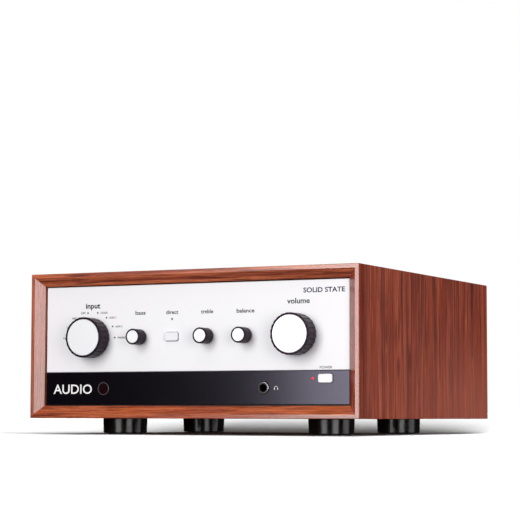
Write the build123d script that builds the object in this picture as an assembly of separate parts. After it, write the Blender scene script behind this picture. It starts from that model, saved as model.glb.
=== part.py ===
from build123d import *
import math
import os

# Integrated stereo amplifier in a mitred wooden sleeve.
# Frame: +X to the right as seen from the front, +Y to the back, +Z up. The origin is on the floor,
# under the middle of the whole object, knobs and rear terminals included. Lengths are millimetres.

# ---------------------------------------------------------------- driving dimensions
CABINET_WIDTH = 352.0
CABINET_HEIGHT = 141.0
CABINET_DEPTH = 338.5
FOOT_HEIGHT = 15.7
SLEEVE_WALL = 12.0
RIM_WIDTH = 4.0          # flat front edge of the sleeve, outside the bevel
BEVEL_WIDTH = SLEEVE_WALL - RIM_WIDTH
BEVEL_DEPTH = 7.0
ARRIS = 0.6              # rounding of the sleeve's outer edges

FASCIA_RECESS = 9.0      # from the sleeve's front edge back to the fascia's face
FASCIA_GAP = 1.1
FASCIA_THICKNESS = 6.0
STEP_HEIGHT = 44.6       # joint of the two fascia plates, above the cabinet's underside
STEP_GAP = 0.3

BIG_KNOB_RADIUS = 19.5
BIG_KNOB_REACH = 18.6    # from the fascia's face to the knob's face
SMALL_KNOB_RADIUS = 7.55
SMALL_KNOB_REACH = 15.6
KNOB_GAP = 1.0
CONTROL_HEIGHT = 77.8    # knob axes above the cabinet's underside
BIG_KNOB_X = 110.5
BASS_X, TREBLE_X, BALANCE_X = -57.0, 15.7, 56.3
DIRECT_X = -22.2
STRIP_HEIGHT = 28.6      # headphone socket and sensor window, above the cabinet's underside

REAR_RECESS = 10.0       # from the sleeve's back edge in to the rear panel's face
POST_REACH = 24.0        # speaker terminals behind the rear panel
STEEL = 1.5

# ---------------------------------------------------------------- reference planes
FRONT_REACH = BIG_KNOB_REACH - FASCIA_RECESS
TOTAL_DEPTH = FRONT_REACH + CABINET_DEPTH - REAR_RECESS + POST_REACH
RIM_Y = FRONT_REACH - TOTAL_DEPTH / 2
FASCIA_Y = RIM_Y + FASCIA_RECESS
FASCIA_BACK_Y = FASCIA_Y + FASCIA_THICKNESS
SUBPANEL_BACK_Y = FASCIA_BACK_Y + STEEL
SLEEVE_BACK_Y = RIM_Y + CABINET_DEPTH
REAR_Y = SLEEVE_BACK_Y - REAR_RECESS
FLOOR_Z = FOOT_HEIGHT                      # the cabinet's underside
INNER_LOW_Z = FLOOR_Z + SLEEVE_WALL
INNER_HIGH_Z = FLOOR_Z + CABINET_HEIGHT - SLEEVE_WALL
INNER_X = CABINET_WIDTH / 2 - SLEEVE_WALL
CONTROL_Z = FLOOR_Z + CONTROL_HEIGHT
STRIP_Z = FLOOR_Z + STRIP_HEIGHT
TRAY_Z = INNER_LOW_Z + STEEL               # inside face of the chassis floor
TRAY_X = INNER_X - 1.5                     # outside faces of the chassis sides
COVER_Z = INNER_HIGH_Z - 2.0               # top face of the steel cover


# ---------------------------------------------------------------- shape helpers
def upright(y):
    """The drawing plane at this depth: drawn to the right is +X, drawn upwards is +Z."""
    return Plane.XZ.offset(-y)


def block(x, y, z):
    """A box from its (low, high) pairs."""
    size = [high - low for low, high in (x, y, z)]
    middle = [(high + low) / 2 for low, high in (x, y, z)]
    return Pos(*middle) * Box(*size)


def plate(sketch, front_y, back_y):
    """A sketch drawn in (X, Z), made into a plate between two planes."""
    return extrude(upright(back_y) * sketch, amount=back_y - front_y, dir=(0, -1, 0))


def rod(x, z, radius, front_y, back_y):
    return plate(Pos(x, z) * Circle(radius), front_y, back_y)


def post(x, y, radius, low_z, high_z):
    return Pos(x, y, (low_z + high_z) / 2) * Cylinder(radius, high_z - low_z)


def turned_y(outline, x, z):
    """Turns (radius, y) points about the line along Y through (x, z)."""
    return Pos(x, 0, z) * revolve(make_face(Polyline(*outline, close=True)), Axis.Y)


def turned_z(outline, x, y):
    """Turns (radius, z) points about the vertical line through (x, y)."""
    face = Plane.XZ * make_face(Polyline(*outline, close=True))
    return Pos(x, y, 0) * revolve(face, Axis.Z)


def ring_of(count, shape):
    """Copies of a shape that was made about the Y axis, spaced round it."""
    return [Rot(0, 360 * k / count, 0) * shape for k in range(count)]


def write(name, *solids):
    """One STEP file for each node; several pieces stay separate solids."""
    shape = solids[0] if len(solids) == 1 else Compound(children=list(solids))
    export_step(shape, f"parts/{name}.step")


# ---------------------------------------------------------------- wooden sleeve
VENT_COLUMNS = (-46.0, 46.0)
VENT_LENGTH, VENT_WIDTH, VENT_PITCH, VENT_ROWS = 78.0, 3.4, 9.0, 13
VENT_MIDDLE_Y = RIM_Y + 205.0
FOOT_X = 113.4
FOOT_FRONT_Y = RIM_Y + 77.6
FOOT_REAR_Y = RIM_Y + 243.7
FEET = {
    "front_left": (-FOOT_X, FOOT_FRONT_Y),
    "front_right": (FOOT_X, FOOT_FRONT_Y),
    "rear_left": (-FOOT_X, FOOT_REAR_Y),
    "rear_right": (FOOT_X, FOOT_REAR_Y),
}
FOOT_SCREW_RADIUS, FOOT_SCREW_CLEARANCE = 2.0, 0.3


def vent_slots(low_z, high_z):
    """Rows of slots across the cabinet, over and under the heatsink."""
    slot = SlotOverall(VENT_LENGTH, VENT_WIDTH)
    first = VENT_MIDDLE_Y - VENT_PITCH * (VENT_ROWS - 1) / 2
    places = [(x, first + VENT_PITCH * row) for x in VENT_COLUMNS for row in range(VENT_ROWS)]
    return [extrude(Pos(x, y, low_z) * slot, amount=high_z - low_z) for x, y in places]


def sleeve():
    """The four mitred boards, with one bevel running round their front edges."""
    outer = block(
        (-CABINET_WIDTH / 2, CABINET_WIDTH / 2),
        (RIM_Y, SLEEVE_BACK_Y),
        (FLOOR_Z, FLOOR_Z + CABINET_HEIGHT),
    )
    outer = fillet(outer.edges(), ARRIS)
    middle_z = FLOOR_Z + CABINET_HEIGHT / 2
    opening = [CABINET_WIDTH - 2 * RIM_WIDTH, CABINET_HEIGHT - 2 * RIM_WIDTH]
    front = upright(RIM_Y) * Pos(0, middle_z) * Rectangle(*opening)
    narrow = [side - 2 * BEVEL_WIDTH for side in opening]
    back = upright(RIM_Y + BEVEL_DEPTH) * Pos(0, middle_z) * Rectangle(*narrow)
    outer -= loft([front, back])
    x, y = CABINET_WIDTH / 2, CABINET_HEIGHT / 2
    inner_x, inner_y = x - SLEEVE_WALL, y - SLEEVE_WALL
    boards = {
        "top": [(-x, y), (x, y), (inner_x, inner_y), (-inner_x, inner_y)],
        "bottom": [(-x, -y), (x, -y), (inner_x, -inner_y), (-inner_x, -inner_y)],
        "left": [(-x, -y), (-x, y), (-inner_x, inner_y), (-inner_x, -inner_y)],
        "right": [(x, -y), (x, y), (inner_x, inner_y), (inner_x, -inner_y)],
    }
    made = {}
    for name, corners in boards.items():
        section = Pos(0, middle_z) * make_face(Polyline(*corners, close=True))
        made[name] = outer & plate(section, RIM_Y, SLEEVE_BACK_Y)
    made["top"] -= vent_slots(INNER_HIGH_Z - 1, FLOOR_Z + CABINET_HEIGHT + 1)
    made["bottom"] -= vent_slots(FLOOR_Z - 1, INNER_LOW_Z + 1)
    hole = FOOT_SCREW_RADIUS + FOOT_SCREW_CLEARANCE
    made["bottom"] -= [post(x, y, hole, FLOOR_Z - 1, INNER_LOW_Z + 1) for x, y in FEET.values()]
    return made


# ---------------------------------------------------------------- feet
FOOT_TOP_RADIUS, FOOT_BASE_RADIUS = 22.1, 21.6
PAD_RADIUS, PAD_DEPTH, PAD_SET_IN, PAD_CLEARANCE = 16.0, 2.4, 1.4, 0.1
FOOT_FLOOR = PAD_DEPTH - PAD_SET_IN         # the moulding's lowest face, held off the floor by the pad
FOOT_LOWER_CHAMFER, FOOT_UPPER_CHAMFER = 0.8, 0.6
FOOT_CAVITY_RADIUS = 7.0
FOOT_WEB = 3.0
CAVITY_TOP = FOOT_HEIGHT - FOOT_WEB
FOOT_SCREW_HEAD_RADIUS, FOOT_SCREW_HEAD = 4.2, 2.6
FOOT_SCREW_END = TRAY_Z + 4.0


def foot(x, y):
    """A moulded foot: a recess below for the pad, and a deep well for its screw above the pad."""
    hole = FOOT_SCREW_RADIUS + FOOT_SCREW_CLEARANCE
    recess = PAD_RADIUS + PAD_CLEARANCE
    outline = [
        (hole, CAVITY_TOP),
        (FOOT_CAVITY_RADIUS, CAVITY_TOP),
        (FOOT_CAVITY_RADIUS, PAD_DEPTH),
        (recess, PAD_DEPTH),
        (recess, FOOT_FLOOR),
        (FOOT_BASE_RADIUS - FOOT_LOWER_CHAMFER, FOOT_FLOOR),
        (FOOT_BASE_RADIUS, FOOT_FLOOR + FOOT_LOWER_CHAMFER),
        (FOOT_TOP_RADIUS, FOOT_HEIGHT - FOOT_UPPER_CHAMFER),
        (FOOT_TOP_RADIUS - FOOT_UPPER_CHAMFER, FOOT_HEIGHT),
        (hole, FOOT_HEIGHT),
    ]
    return turned_z(outline, x, y)


def foot_screw(x, y):
    """A pan-head screw from the foot's well up into the chassis floor."""
    head_low = CAVITY_TOP - FOOT_SCREW_HEAD
    slot_length, slot_width, slot_depth = 4.6, 1.0, 1.4
    shape = post(x, y, FOOT_SCREW_HEAD_RADIUS, head_low, CAVITY_TOP)
    shape += post(x, y, FOOT_SCREW_RADIUS, CAVITY_TOP, FOOT_SCREW_END)
    shape = fillet(shape.edges().group_by(Axis.Z)[0], 1.0)
    for turn in (0, 90):
        slot = Box(slot_length, slot_width, slot_depth)
        shape -= Pos(x, y, head_low + slot_depth / 2) * Rot(0, 0, turn) * slot
    return shape


def foot_pad(x, y):
    """A rubber disc glued into the foot's recess, over the screw."""
    pad = post(x, y, PAD_RADIUS, 0, PAD_DEPTH)
    return fillet(pad.edges().group_by(Axis.Z)[0], 0.4)


# ---------------------------------------------------------------- fascia
BUTTON_WIDTH, BUTTON_HEIGHT, BUTTON_CORNER = 14.4, 8.2, 2.0
BUTTON_CLEARANCE = 0.5
BUTTON_REACH = 2.4
BUTTON_TRAVEL = 1.5
POWER_X, POWER_Z = 139.1, FLOOR_Z + 37.1
POWER_LED_X = 125.9
DIRECT_LED_Z = FLOOR_Z + 94.6
JACK_X = 75.5
WINDOW_X = -97.9
SHAFT_RADIUS = 3.0
SHAFT_HOLE_RADIUS = 3.6
COUNTERBORE_RADIUS, COUNTERBORE_DEPTH = 7.2, 4.0
FASCIA_CHAMFER = 0.4
LED_RADIUS, DIRECT_LED_RADIUS = 1.3, 0.95
LED_CLEARANCE, DIRECT_LED_CLEARANCE = 0.1, 0.05
JACK_NOSE_RADIUS, JACK_CLEARANCE = 5.6, 0.5
WINDOW_RADIUS, WINDOW_CLEARANCE = 6.2, 0.1
ROTARY = {
    "input": (-BIG_KNOB_X, BIG_KNOB_RADIUS, BIG_KNOB_REACH),
    "volume": (BIG_KNOB_X, BIG_KNOB_RADIUS, BIG_KNOB_REACH),
    "bass": (BASS_X, SMALL_KNOB_RADIUS, SMALL_KNOB_REACH),
    "treble": (TREBLE_X, SMALL_KNOB_RADIUS, SMALL_KNOB_REACH),
    "balance": (BALANCE_X, SMALL_KNOB_RADIUS, SMALL_KNOB_REACH),
}
FASCIA_X = INNER_X - FASCIA_GAP
FASCIA_LOW_Z = INNER_LOW_Z + FASCIA_GAP
FASCIA_HIGH_Z = INNER_HIGH_Z - FASCIA_GAP
STEP_Z = FLOOR_Z + STEP_HEIGHT


def button_opening(x, z, extra):
    return Pos(x, z) * RectangleRounded(
        BUTTON_WIDTH + 2 * extra, BUTTON_HEIGHT + 2 * extra, BUTTON_CORNER + extra
    )


def fascia_plate(low_z, high_z):
    shape = block((-FASCIA_X, FASCIA_X), (FASCIA_Y, FASCIA_BACK_Y), (low_z, high_z))
    return chamfer(shape.faces().sort_by(Axis.Y)[0].edges(), FASCIA_CHAMFER)


def fascia_upper():
    """The pale plate, with a counterbore behind each control for its bush and nut."""
    shape = fascia_plate(STEP_Z + STEP_GAP / 2, FASCIA_HIGH_Z)
    through = (FASCIA_Y - 1, FASCIA_BACK_Y + 1)
    for x, _, _ in ROTARY.values():
        shape -= rod(x, CONTROL_Z, SHAFT_HOLE_RADIUS, *through)
        shape -= rod(x, CONTROL_Z, COUNTERBORE_RADIUS, FASCIA_BACK_Y - COUNTERBORE_DEPTH, FASCIA_BACK_Y + 1)
    shape -= plate(button_opening(DIRECT_X, CONTROL_Z, BUTTON_CLEARANCE), *through)
    return shape - rod(DIRECT_X, DIRECT_LED_Z, DIRECT_LED_RADIUS + DIRECT_LED_CLEARANCE, *through)


def fascia_lower():
    """The dark strip, with the sensor window, the headphone socket, the lamp and the power button."""
    shape = fascia_plate(FASCIA_LOW_Z, STEP_Z - STEP_GAP / 2)
    through = (FASCIA_Y - 1, FASCIA_BACK_Y + 1)
    for x, z, radius in (
        (WINDOW_X, STRIP_Z, WINDOW_RADIUS + WINDOW_CLEARANCE),
        (JACK_X, STRIP_Z, JACK_NOSE_RADIUS + JACK_CLEARANCE),
        (POWER_LED_X, POWER_Z, LED_RADIUS + LED_CLEARANCE),
    ):
        shape -= rod(x, z, radius, *through)
    return shape - plate(button_opening(POWER_X, POWER_Z, BUTTON_CLEARANCE), *through)


# ---------------------------------------------------------------- knobs and their shafts
KNOB_CAP_DEPTH = 1.6
KNOB_CAP_SET_IN = 0.35
KNOB_CAP_CLEARANCE = 0.05
KNOB_FLOOR = 3.0                             # plastic between the cap's seat and the hollow behind it
KNOB_EDGE = 0.5
KNOB_BORE_RADIUS = 3.05
BORE_START, SHAFT_START = 1.2, 1.5           # behind the cap's back face
COLLAR_LINE_DEPTH, COLLAR_LINE_WIDTH = 0.5, 0.5
NOTCH_WIDTH, NOTCH_DEPTH = 0.9, 0.5
# The rim round the cap, the cup's wall, its hub, the collar in front of the turned line, and the flutes.
BIG_KNOB = {"rim": 1.9, "wall": 2.6, "hub": 6.5, "collar": 1.9, "flutes": 24, "flute_radius": 0.75}
SMALL_KNOB = {"rim": 1.4, "wall": 1.5, "hub": 4.6, "collar": 1.4, "flutes": 20, "flute_radius": 0.5}
FLUTE_OFFSET = 0.08                          # from the knob's surface out to a flute's own axis
BUSH_RADIUS, BUSH_BORE_RADIUS = 3.5, 3.06
BUSH_REACH = 4.5                             # the bush in front of the control's body
BUSH_BORE_DEPTH, SHAFT_DEPTH = 8.0, 7.5      # behind the steel plate
POT_DEPTH = 10.0
FRONT_BOARD_Y = SUBPANEL_BACK_Y + POT_DEPTH + 0.5
BOARD_THICKNESS = 1.6
# Where each pointer notch stands at rest, clockwise from the top as seen from the front, in degrees.
POINTER_REST = {"input": 90.0, "volume": -60.0, "bass": 0.0, "treble": 0.0, "balance": 0.0}


def knob_style(name):
    return BIG_KNOB if ROTARY[name][1] == BIG_KNOB_RADIUS else SMALL_KNOB


def knob_blank(radius, style, face_y, back_y):
    """The turned knob before its flutes: a cup with a hub, and a seat in its face for the cap."""
    seat_y = face_y + KNOB_CAP_SET_IN + KNOB_CAP_DEPTH
    hollow_y, bore_end_y = seat_y + KNOB_FLOOR, seat_y + BORE_START
    seat, inside, hub = radius - style["rim"], radius - style["wall"], style["hub"]
    outline = [
        (0, seat_y), (seat, seat_y), (seat, face_y + KNOB_EDGE / 2), (seat + KNOB_EDGE / 2, face_y),
        (radius - KNOB_EDGE, face_y), (radius, face_y + KNOB_EDGE),
        (radius, back_y - KNOB_EDGE), (radius - KNOB_EDGE, back_y), (inside, back_y),
        (inside, hollow_y), (hub, hollow_y), (hub, back_y),
        (KNOB_BORE_RADIUS, back_y), (KNOB_BORE_RADIUS, bore_end_y), (0, bore_end_y),
    ]
    return turned_y(outline, 0, 0)


def knob(name):
    """A knob fluted from its face to its back, with a fine line turned behind its collar."""
    x, radius, reach = ROTARY[name]
    style = knob_style(name)
    face_y, back_y = FASCIA_Y - reach, FASCIA_Y - KNOB_GAP
    shape = knob_blank(radius, style, face_y, back_y)
    flute = rod(0, radius + FLUTE_OFFSET, style["flute_radius"], face_y - 1, back_y + 1)
    line_start = face_y + style["collar"]
    line_end = line_start + COLLAR_LINE_WIDTH
    line_floor = radius - COLLAR_LINE_DEPTH
    beyond = radius + 1
    line_section = [
        (line_floor, line_start), (beyond, line_start), (beyond, line_end), (line_floor, line_end),
    ]
    collar_line = turned_y(line_section, 0, 0)
    shape = shape - ring_of(style["flutes"], flute) - collar_line
    notch = block(
        (-NOTCH_WIDTH / 2, NOTCH_WIDTH / 2),
        (face_y - 1, face_y + NOTCH_DEPTH),
        (radius - style["rim"] + 0.4, radius + 1),
    )
    shape -= Rot(0, POINTER_REST[name], 0) * notch
    return Pos(x, 0, CONTROL_Z) * shape


def knob_cap(name):
    """The metal disc let into the knob's face."""
    x, radius, reach = ROTARY[name]
    cap_radius = radius - knob_style(name)["rim"] - KNOB_CAP_CLEARANCE
    front = FASCIA_Y - reach + KNOB_CAP_SET_IN
    back = front + KNOB_CAP_DEPTH
    bevel = 0.3
    outline = [
        (0, front), (cap_radius - bevel, front), (cap_radius, front + bevel), (cap_radius, back), (0, back),
    ]
    return turned_y(outline, x, CONTROL_Z)


def control_shaft(name):
    """A 6 mm control shaft, from the knob's bore to the wiper inside the control."""
    x, _, reach = ROTARY[name]
    front = FASCIA_Y - reach + KNOB_CAP_SET_IN + KNOB_CAP_DEPTH + SHAFT_START
    return chamfer(rod(x, CONTROL_Z, SHAFT_RADIUS, front, SUBPANEL_BACK_Y + SHAFT_DEPTH).edges(), 0.4)


# ---------------------------------------------------------------- controls behind the fascia
def bush_and_bore(body, x):
    """Adds a control's threaded bush, then opens the bore that its shaft turns in."""
    bush_front = SUBPANEL_BACK_Y - BUSH_REACH
    body += rod(x, CONTROL_Z, BUSH_RADIUS, bush_front, SUBPANEL_BACK_Y)
    return body - rod(x, CONTROL_Z, BUSH_BORE_RADIUS, bush_front - 1, SUBPANEL_BACK_Y + BUSH_BORE_DEPTH)


def input_selector():
    """Eight-way rotary switch, with its round wafer stack."""
    x, wafer_radius = -BIG_KNOB_X, 13.0
    body = rod(x, CONTROL_Z, wafer_radius, SUBPANEL_BACK_Y, SUBPANEL_BACK_Y + POT_DEPTH)
    return bush_and_bore(body, x)


def volume_potentiometer():
    """Motor-driven volume control: track housing, gearbox and a round motor behind it."""
    x, z, front = BIG_KNOB_X, CONTROL_Z, SUBPANEL_BACK_Y
    gearbox, motor, back = front + 22, front + 34, front + 56
    motor_radius, motor_lift = 8.5, 1.0
    body = block((x - 12.5, x + 12.5), (front, gearbox), (z - 13, z + 13))
    body += block((x - 10, x + 10), (gearbox, motor), (z - 11, z + 11))
    body += rod(x, z + motor_lift, motor_radius, motor, back)
    return bush_and_bore(body, x)


def tone_potentiometer(name):
    x = ROTARY[name][0]
    z, y = CONTROL_Z, SUBPANEL_BACK_Y
    body = block((x - 8.5, x + 8.5), (y, y + POT_DEPTH), (z - 10, z + 8.5))
    return bush_and_bore(body, x)


def control_nut(x):
    """Hexagon nut in the fascia's counterbore, clamping a bush to the steel."""
    corner_radius, thickness = 5.5, 2.2
    hexagon = Pos(x, CONTROL_Z) * RegularPolygon(corner_radius, 6)
    nut = plate(hexagon, FASCIA_BACK_Y - thickness, FASCIA_BACK_Y)
    return nut - rod(x, CONTROL_Z, BUSH_RADIUS, FASCIA_BACK_Y - thickness - 1, FASCIA_BACK_Y + 1)


TACT_HEIGHT = 3.6
TACT_HALF_WIDTH = 3.0


def button(x, z):
    """Push button: cap, retaining lip behind the fascia, and a stem to its switch."""
    face, lip = FASCIA_Y - BUTTON_REACH, FASCIA_BACK_Y + 0.2
    lip_size, stem_radius = 1.2, 2.4
    stem_end = FRONT_BOARD_Y - TACT_HEIGHT - BUTTON_TRAVEL - 0.2
    cap = plate(button_opening(x, z, 0), face, lip)
    cap = fillet(cap.faces().sort_by(Axis.Y)[0].edges(), 0.7)
    cap += plate(button_opening(x, z, lip_size), lip, lip + lip_size)
    return cap + rod(x, z, stem_radius, lip + lip_size, stem_end)


def tact_switch(x, z):
    """Push switch on the front board, behind a button's stem."""
    half = TACT_HALF_WIDTH
    body = block((x - half, x + half), (FRONT_BOARD_Y - TACT_HEIGHT, FRONT_BOARD_Y), (z - half, z + half))
    return chamfer(body.edges().filter_by(Axis.Y), 0.5)


# ---------------------------------------------------------------- indicators and headphone socket
JACK_BORE_RADIUS = 3.25
JACK_MOUTH_RADIUS = 4.85
JACK_DEPTH = 32.0
JACK_PROUD = 1.4
JACK_BODY_HALF = 8.0
JACK_END_WALL = 1.5


def lamp(x, z, radius, proud):
    """Round indicator with a domed nose, filling its hole through the fascia."""
    steps, dome = 6, 0.8 * radius
    front = FASCIA_Y - proud
    angles = [math.radians(90 * k / steps) for k in range(steps + 1)]
    outline = [(radius * math.sin(angle), front + dome * (1 - math.cos(angle))) for angle in angles]
    return turned_y(outline + [(radius, FASCIA_BACK_Y), (0, FASCIA_BACK_Y)], x, z)


def ir_window():
    """Dark lens with a raised edge, over the remote control's receiver."""
    front, back = FASCIA_Y - 0.5, FASCIA_BACK_Y - 1.0
    lens_y = front + 0.7
    edge_inner, edge_crest, edge_outer = WINDOW_RADIUS - 0.9, WINDOW_RADIUS - 0.6, WINDOW_RADIUS - 0.2
    outline = [
        (0, lens_y), (edge_inner, lens_y), (edge_crest, front), (edge_outer, front),
        (WINDOW_RADIUS, front + 0.2), (WINDOW_RADIUS, back), (0, back),
    ]
    return turned_y(outline, WINDOW_X, STRIP_Z)


def headphone_jack():
    """6.35 mm socket: a rounded nose through the fascia, and a boxed body behind it."""
    nose_front = FASCIA_Y - JACK_PROUD
    body_back = FASCIA_Y + JACK_DEPTH
    half = JACK_BODY_HALF
    nose = rod(JACK_X, STRIP_Z, JACK_NOSE_RADIUS, nose_front, SUBPANEL_BACK_Y)
    nose = fillet(nose.edges().group_by(Axis.Y)[0], 0.7)
    body = block(
        (JACK_X - half, JACK_X + half), (SUBPANEL_BACK_Y, body_back), (STRIP_Z - half, STRIP_Z + half)
    )
    mouth_end = nose_front + 0.8
    mouth_section = [
        (0, nose_front - 1), (JACK_MOUTH_RADIUS, nose_front - 1),
        (JACK_BORE_RADIUS, mouth_end), (0, mouth_end),
    ]
    mouth = turned_y(mouth_section, JACK_X, STRIP_Z)
    bore = rod(JACK_X, STRIP_Z, JACK_BORE_RADIUS, nose_front, body_back - JACK_END_WALL)
    return nose + body - mouth - bore


# ---------------------------------------------------------------- chassis
PANEL_CLEARANCE, FLANGE_CLEARANCE = 0.2, 0.3
BUTTON_LIP_CLEARANCE = 1.6
FLANGE_WIDTH = 12.0
COVER_LIP_THICKNESS = 1.0
SUBPANEL_X = TRAY_X - STEEL - FLANGE_CLEARANCE
CHASSIS_FRONT_Y = FASCIA_BACK_Y
REAR_PANEL_FRONT_Y = REAR_Y - STEEL
TRAY_BACK_Y = REAR_PANEL_FRONT_Y
SIDE_HIGH_Z = COVER_Z - STEEL - 0.2
COVER_LIP = 9.0
STANDOFF_RADIUS = 3.0


def chassis_base():
    """Steel tray: floor, two sides, and a flange along the top of each side."""
    floor = block((-TRAY_X, TRAY_X), (CHASSIS_FRONT_Y, TRAY_BACK_Y), (INNER_LOW_Z, TRAY_Z))
    floor -= vent_slots(INNER_LOW_Z - 1, TRAY_Z + 1)
    floor -= [post(x, y, FOOT_SCREW_RADIUS, INNER_LOW_Z - 1, TRAY_Z + 1) for x, y in FEET.values()]
    bolt_x, bolt_y = TRANSFORMER_PLACE
    floor -= post(bolt_x, bolt_y, CLAMP_BOLT_RADIUS, INNER_LOW_Z - 1, TRAY_Z + 1)
    for side in (-1, 1):
        wall = sorted((side * TRAY_X, side * (TRAY_X - STEEL)))
        floor += block(wall, (CHASSIS_FRONT_Y, TRAY_BACK_Y), (TRAY_Z, SIDE_HIGH_Z))
        flange = sorted((side * (TRAY_X - STEEL), side * (TRAY_X - FLANGE_WIDTH)))
        floor += block(flange, (SUBPANEL_BACK_Y + 1, TRAY_BACK_Y), (SIDE_HIGH_Z - STEEL, SIDE_HIGH_Z))
    return floor


def front_subpanel():
    """Steel plate behind the fascia that every front control is fixed to."""
    low, high = TRAY_Z + PANEL_CLEARANCE, SIDE_HIGH_Z - STEEL - FLANGE_CLEARANCE
    shape = block((-SUBPANEL_X, SUBPANEL_X), (FASCIA_BACK_Y, SUBPANEL_BACK_Y), (low, high))
    through = (FASCIA_BACK_Y - 1, SUBPANEL_BACK_Y + 1)
    holes = [(x, CONTROL_Z, BUSH_RADIUS + 0.05) for x, _, _ in ROTARY.values()]
    holes += [
        (DIRECT_X, DIRECT_LED_Z, 2.2),
        (POWER_LED_X, POWER_Z, 2.6),
        (JACK_X, STRIP_Z, JACK_NOSE_RADIUS + 0.1),
        (WINDOW_X, STRIP_Z, WINDOW_RADIUS),
    ]
    for x, z, radius in holes:
        shape -= rod(x, z, radius, *through)
    for x, z in ((DIRECT_X, CONTROL_Z), (POWER_X, POWER_Z)):
        shape -= plate(button_opening(x, z, BUTTON_LIP_CLEARANCE), *through)
    return shape


def top_cover():
    """Slotted steel lid, its lips turned down outside the tray's sides."""
    half = INNER_X - FLANGE_CLEARANCE
    shape = block((-half, half), (CHASSIS_FRONT_Y, TRAY_BACK_Y), (COVER_Z - STEEL, COVER_Z))
    for side in (-1, 1):
        lip = sorted((side * half, side * (half - COVER_LIP_THICKNESS)))
        shape += block(lip, (CHASSIS_FRONT_Y, TRAY_BACK_Y), (COVER_Z - COVER_LIP, COVER_Z - STEEL))
    return shape - vent_slots(COVER_Z - STEEL - 1, COVER_Z + 1)


# ---------------------------------------------------------------- rear panel and its connectors
RCA_COLUMNS = (132.0, 112.0, 92.0, 72.0)
RCA_HIGH_Z, RCA_LOW_Z = FLOOR_Z + 103.0, FLOOR_Z + 84.0
RCA_RADIUS, RCA_LENGTH = 4.15, 9.5
RCA_COLLAR_RADIUS, RCA_COLLAR_DEPTH = 5.6, 1.2
RCA_SHELL_INNER, RCA_INSERT_RADIUS, RCA_PIN_RADIUS = 3.3, 2.6, 1.6
RCA_INSERT_SET_IN = 0.6
GROUND_PLACE = (150.0, FLOOR_Z + 94.0)
GROUND_STUD_RADIUS, GROUND_NECK_RADIUS, GROUND_WASHER_RADIUS = 2.0, 3.0, 5.0
POST_PLACES = {
    "right_positive": (-58.0, FLOOR_Z + 88.0),
    "right_negative": (-77.05, FLOOR_Z + 88.0),
    "left_positive": (-110.0, FLOOR_Z + 88.0),
    "left_negative": (-129.05, FLOOR_Z + 88.0),
}
POST_RADIUS = 4.0
POST_BORE_RADIUS = 2.05
POST_BORE_DEPTH = 15.5
POST_STUD_REACH = POST_REACH - 1.2
WIRE_HOLE_RADIUS = 1.2
POST_FLANGE_RADIUS = 8.2
POST_FLANGE_DEPTH = 4.0
POST_CAP_RADIUS, CAP_FLUTES = 7.4, 16
POST_NECK_RADIUS = 5.0
INLET_X, INLET_Z = -126.0, FLOOR_Z + 36.0
INLET_BODY = (28.0, 20.0)
INLET_FLANGE_SIZE, INLET_FLANGE_CORNER = (50.0, 24.0), 4.0
INLET_SCREW_OFFSETS = (-20.0, 20.0)
INLET_FLANGE = 2.4
INLET_RECESS = 17.0
ROCKER_X = -84.0
ROCKER_BODY = (19.0, 13.0)
ROCKER_TILT = 8.0
CUTOUT_CLEARANCE = 0.4
ANTENNA_PLACE = (30.0, FLOOR_Z + 106.0)
HDMI_X, USB_X, OPTICAL_X, COAXIAL_X, TRIGGER_X = 140.0, 118.0, (98.0, 80.0), 60.0, 42.0
DIGITAL_Z = FLOOR_Z + 44.0
HDMI_SHELL, USB_SHELL, OPTICAL_SHELL = (15.0, 6.0), (12.0, 11.0), (10.0, 10.0)
TRIGGER_RADIUS, TRIGGER_BORE_RADIUS = 3.5, 1.8
AERIAL_THREAD_RADIUS = 3.2


def behind(distance):
    """The plane this far behind the rear panel's outer face."""
    return REAR_Y + distance


def rear_cutouts():
    """What the rear panel is punched out with, one opening for each connector."""
    through = (REAR_PANEL_FRONT_Y - 1, REAR_Y + 1)
    rounds = [(x, z, RCA_COLLAR_RADIUS) for x in RCA_COLUMNS for z in (RCA_LOW_Z, RCA_HIGH_Z)]
    rounds += [(x, z, POST_NECK_RADIUS) for x, z in POST_PLACES.values()]
    rounds += [
        (*GROUND_PLACE, GROUND_NECK_RADIUS),
        (*ANTENNA_PLACE, AERIAL_THREAD_RADIUS),
        (COAXIAL_X, DIGITAL_Z, RCA_COLLAR_RADIUS),
        (TRIGGER_X, DIGITAL_Z, TRIGGER_RADIUS),
    ]
    boxes = [
        (INLET_X, INLET_Z, INLET_BODY),
        (ROCKER_X, INLET_Z, ROCKER_BODY),
        (HDMI_X, DIGITAL_Z, HDMI_SHELL),
        (USB_X, DIGITAL_Z, USB_SHELL),
    ]
    boxes += [(x, DIGITAL_Z, OPTICAL_SHELL) for x in OPTICAL_X]
    cuts = [rod(x, z, radius + CUTOUT_CLEARANCE / 4, *through) for x, z, radius in rounds]
    for x, z, (width, height) in boxes:
        outline = Rectangle(width + CUTOUT_CLEARANCE, height + CUTOUT_CLEARANCE)
        cuts.append(plate(Pos(x, z) * outline, *through))
    return cuts


def rear_panel():
    """Steel sheet between the tray's sides, with an ear at each side over the tray's edge."""
    half, low, high = SUBPANEL_X, TRAY_Z + PANEL_CLEARANCE, SIDE_HIGH_Z - STEEL - FLANGE_CLEARANCE
    shape = block((-half, half), (REAR_PANEL_FRONT_Y, REAR_Y), (low, high))
    for side in (-1, 1):
        ear = sorted((side * half, side * TRAY_X))
        shape += block(ear, (REAR_PANEL_FRONT_Y, REAR_Y), (low, SIDE_HIGH_Z))
    shape -= rear_cutouts()
    inlet_screws = [(INLET_X + dx, INLET_Z) for dx in INLET_SCREW_OFFSETS]
    for x, z in REAR_SCREW_PLACES + inlet_screws:
        shape -= rod(x, z, SCREW_RADIUS, REAR_PANEL_FRONT_Y - 1, REAR_Y + 1)
    return shape


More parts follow.
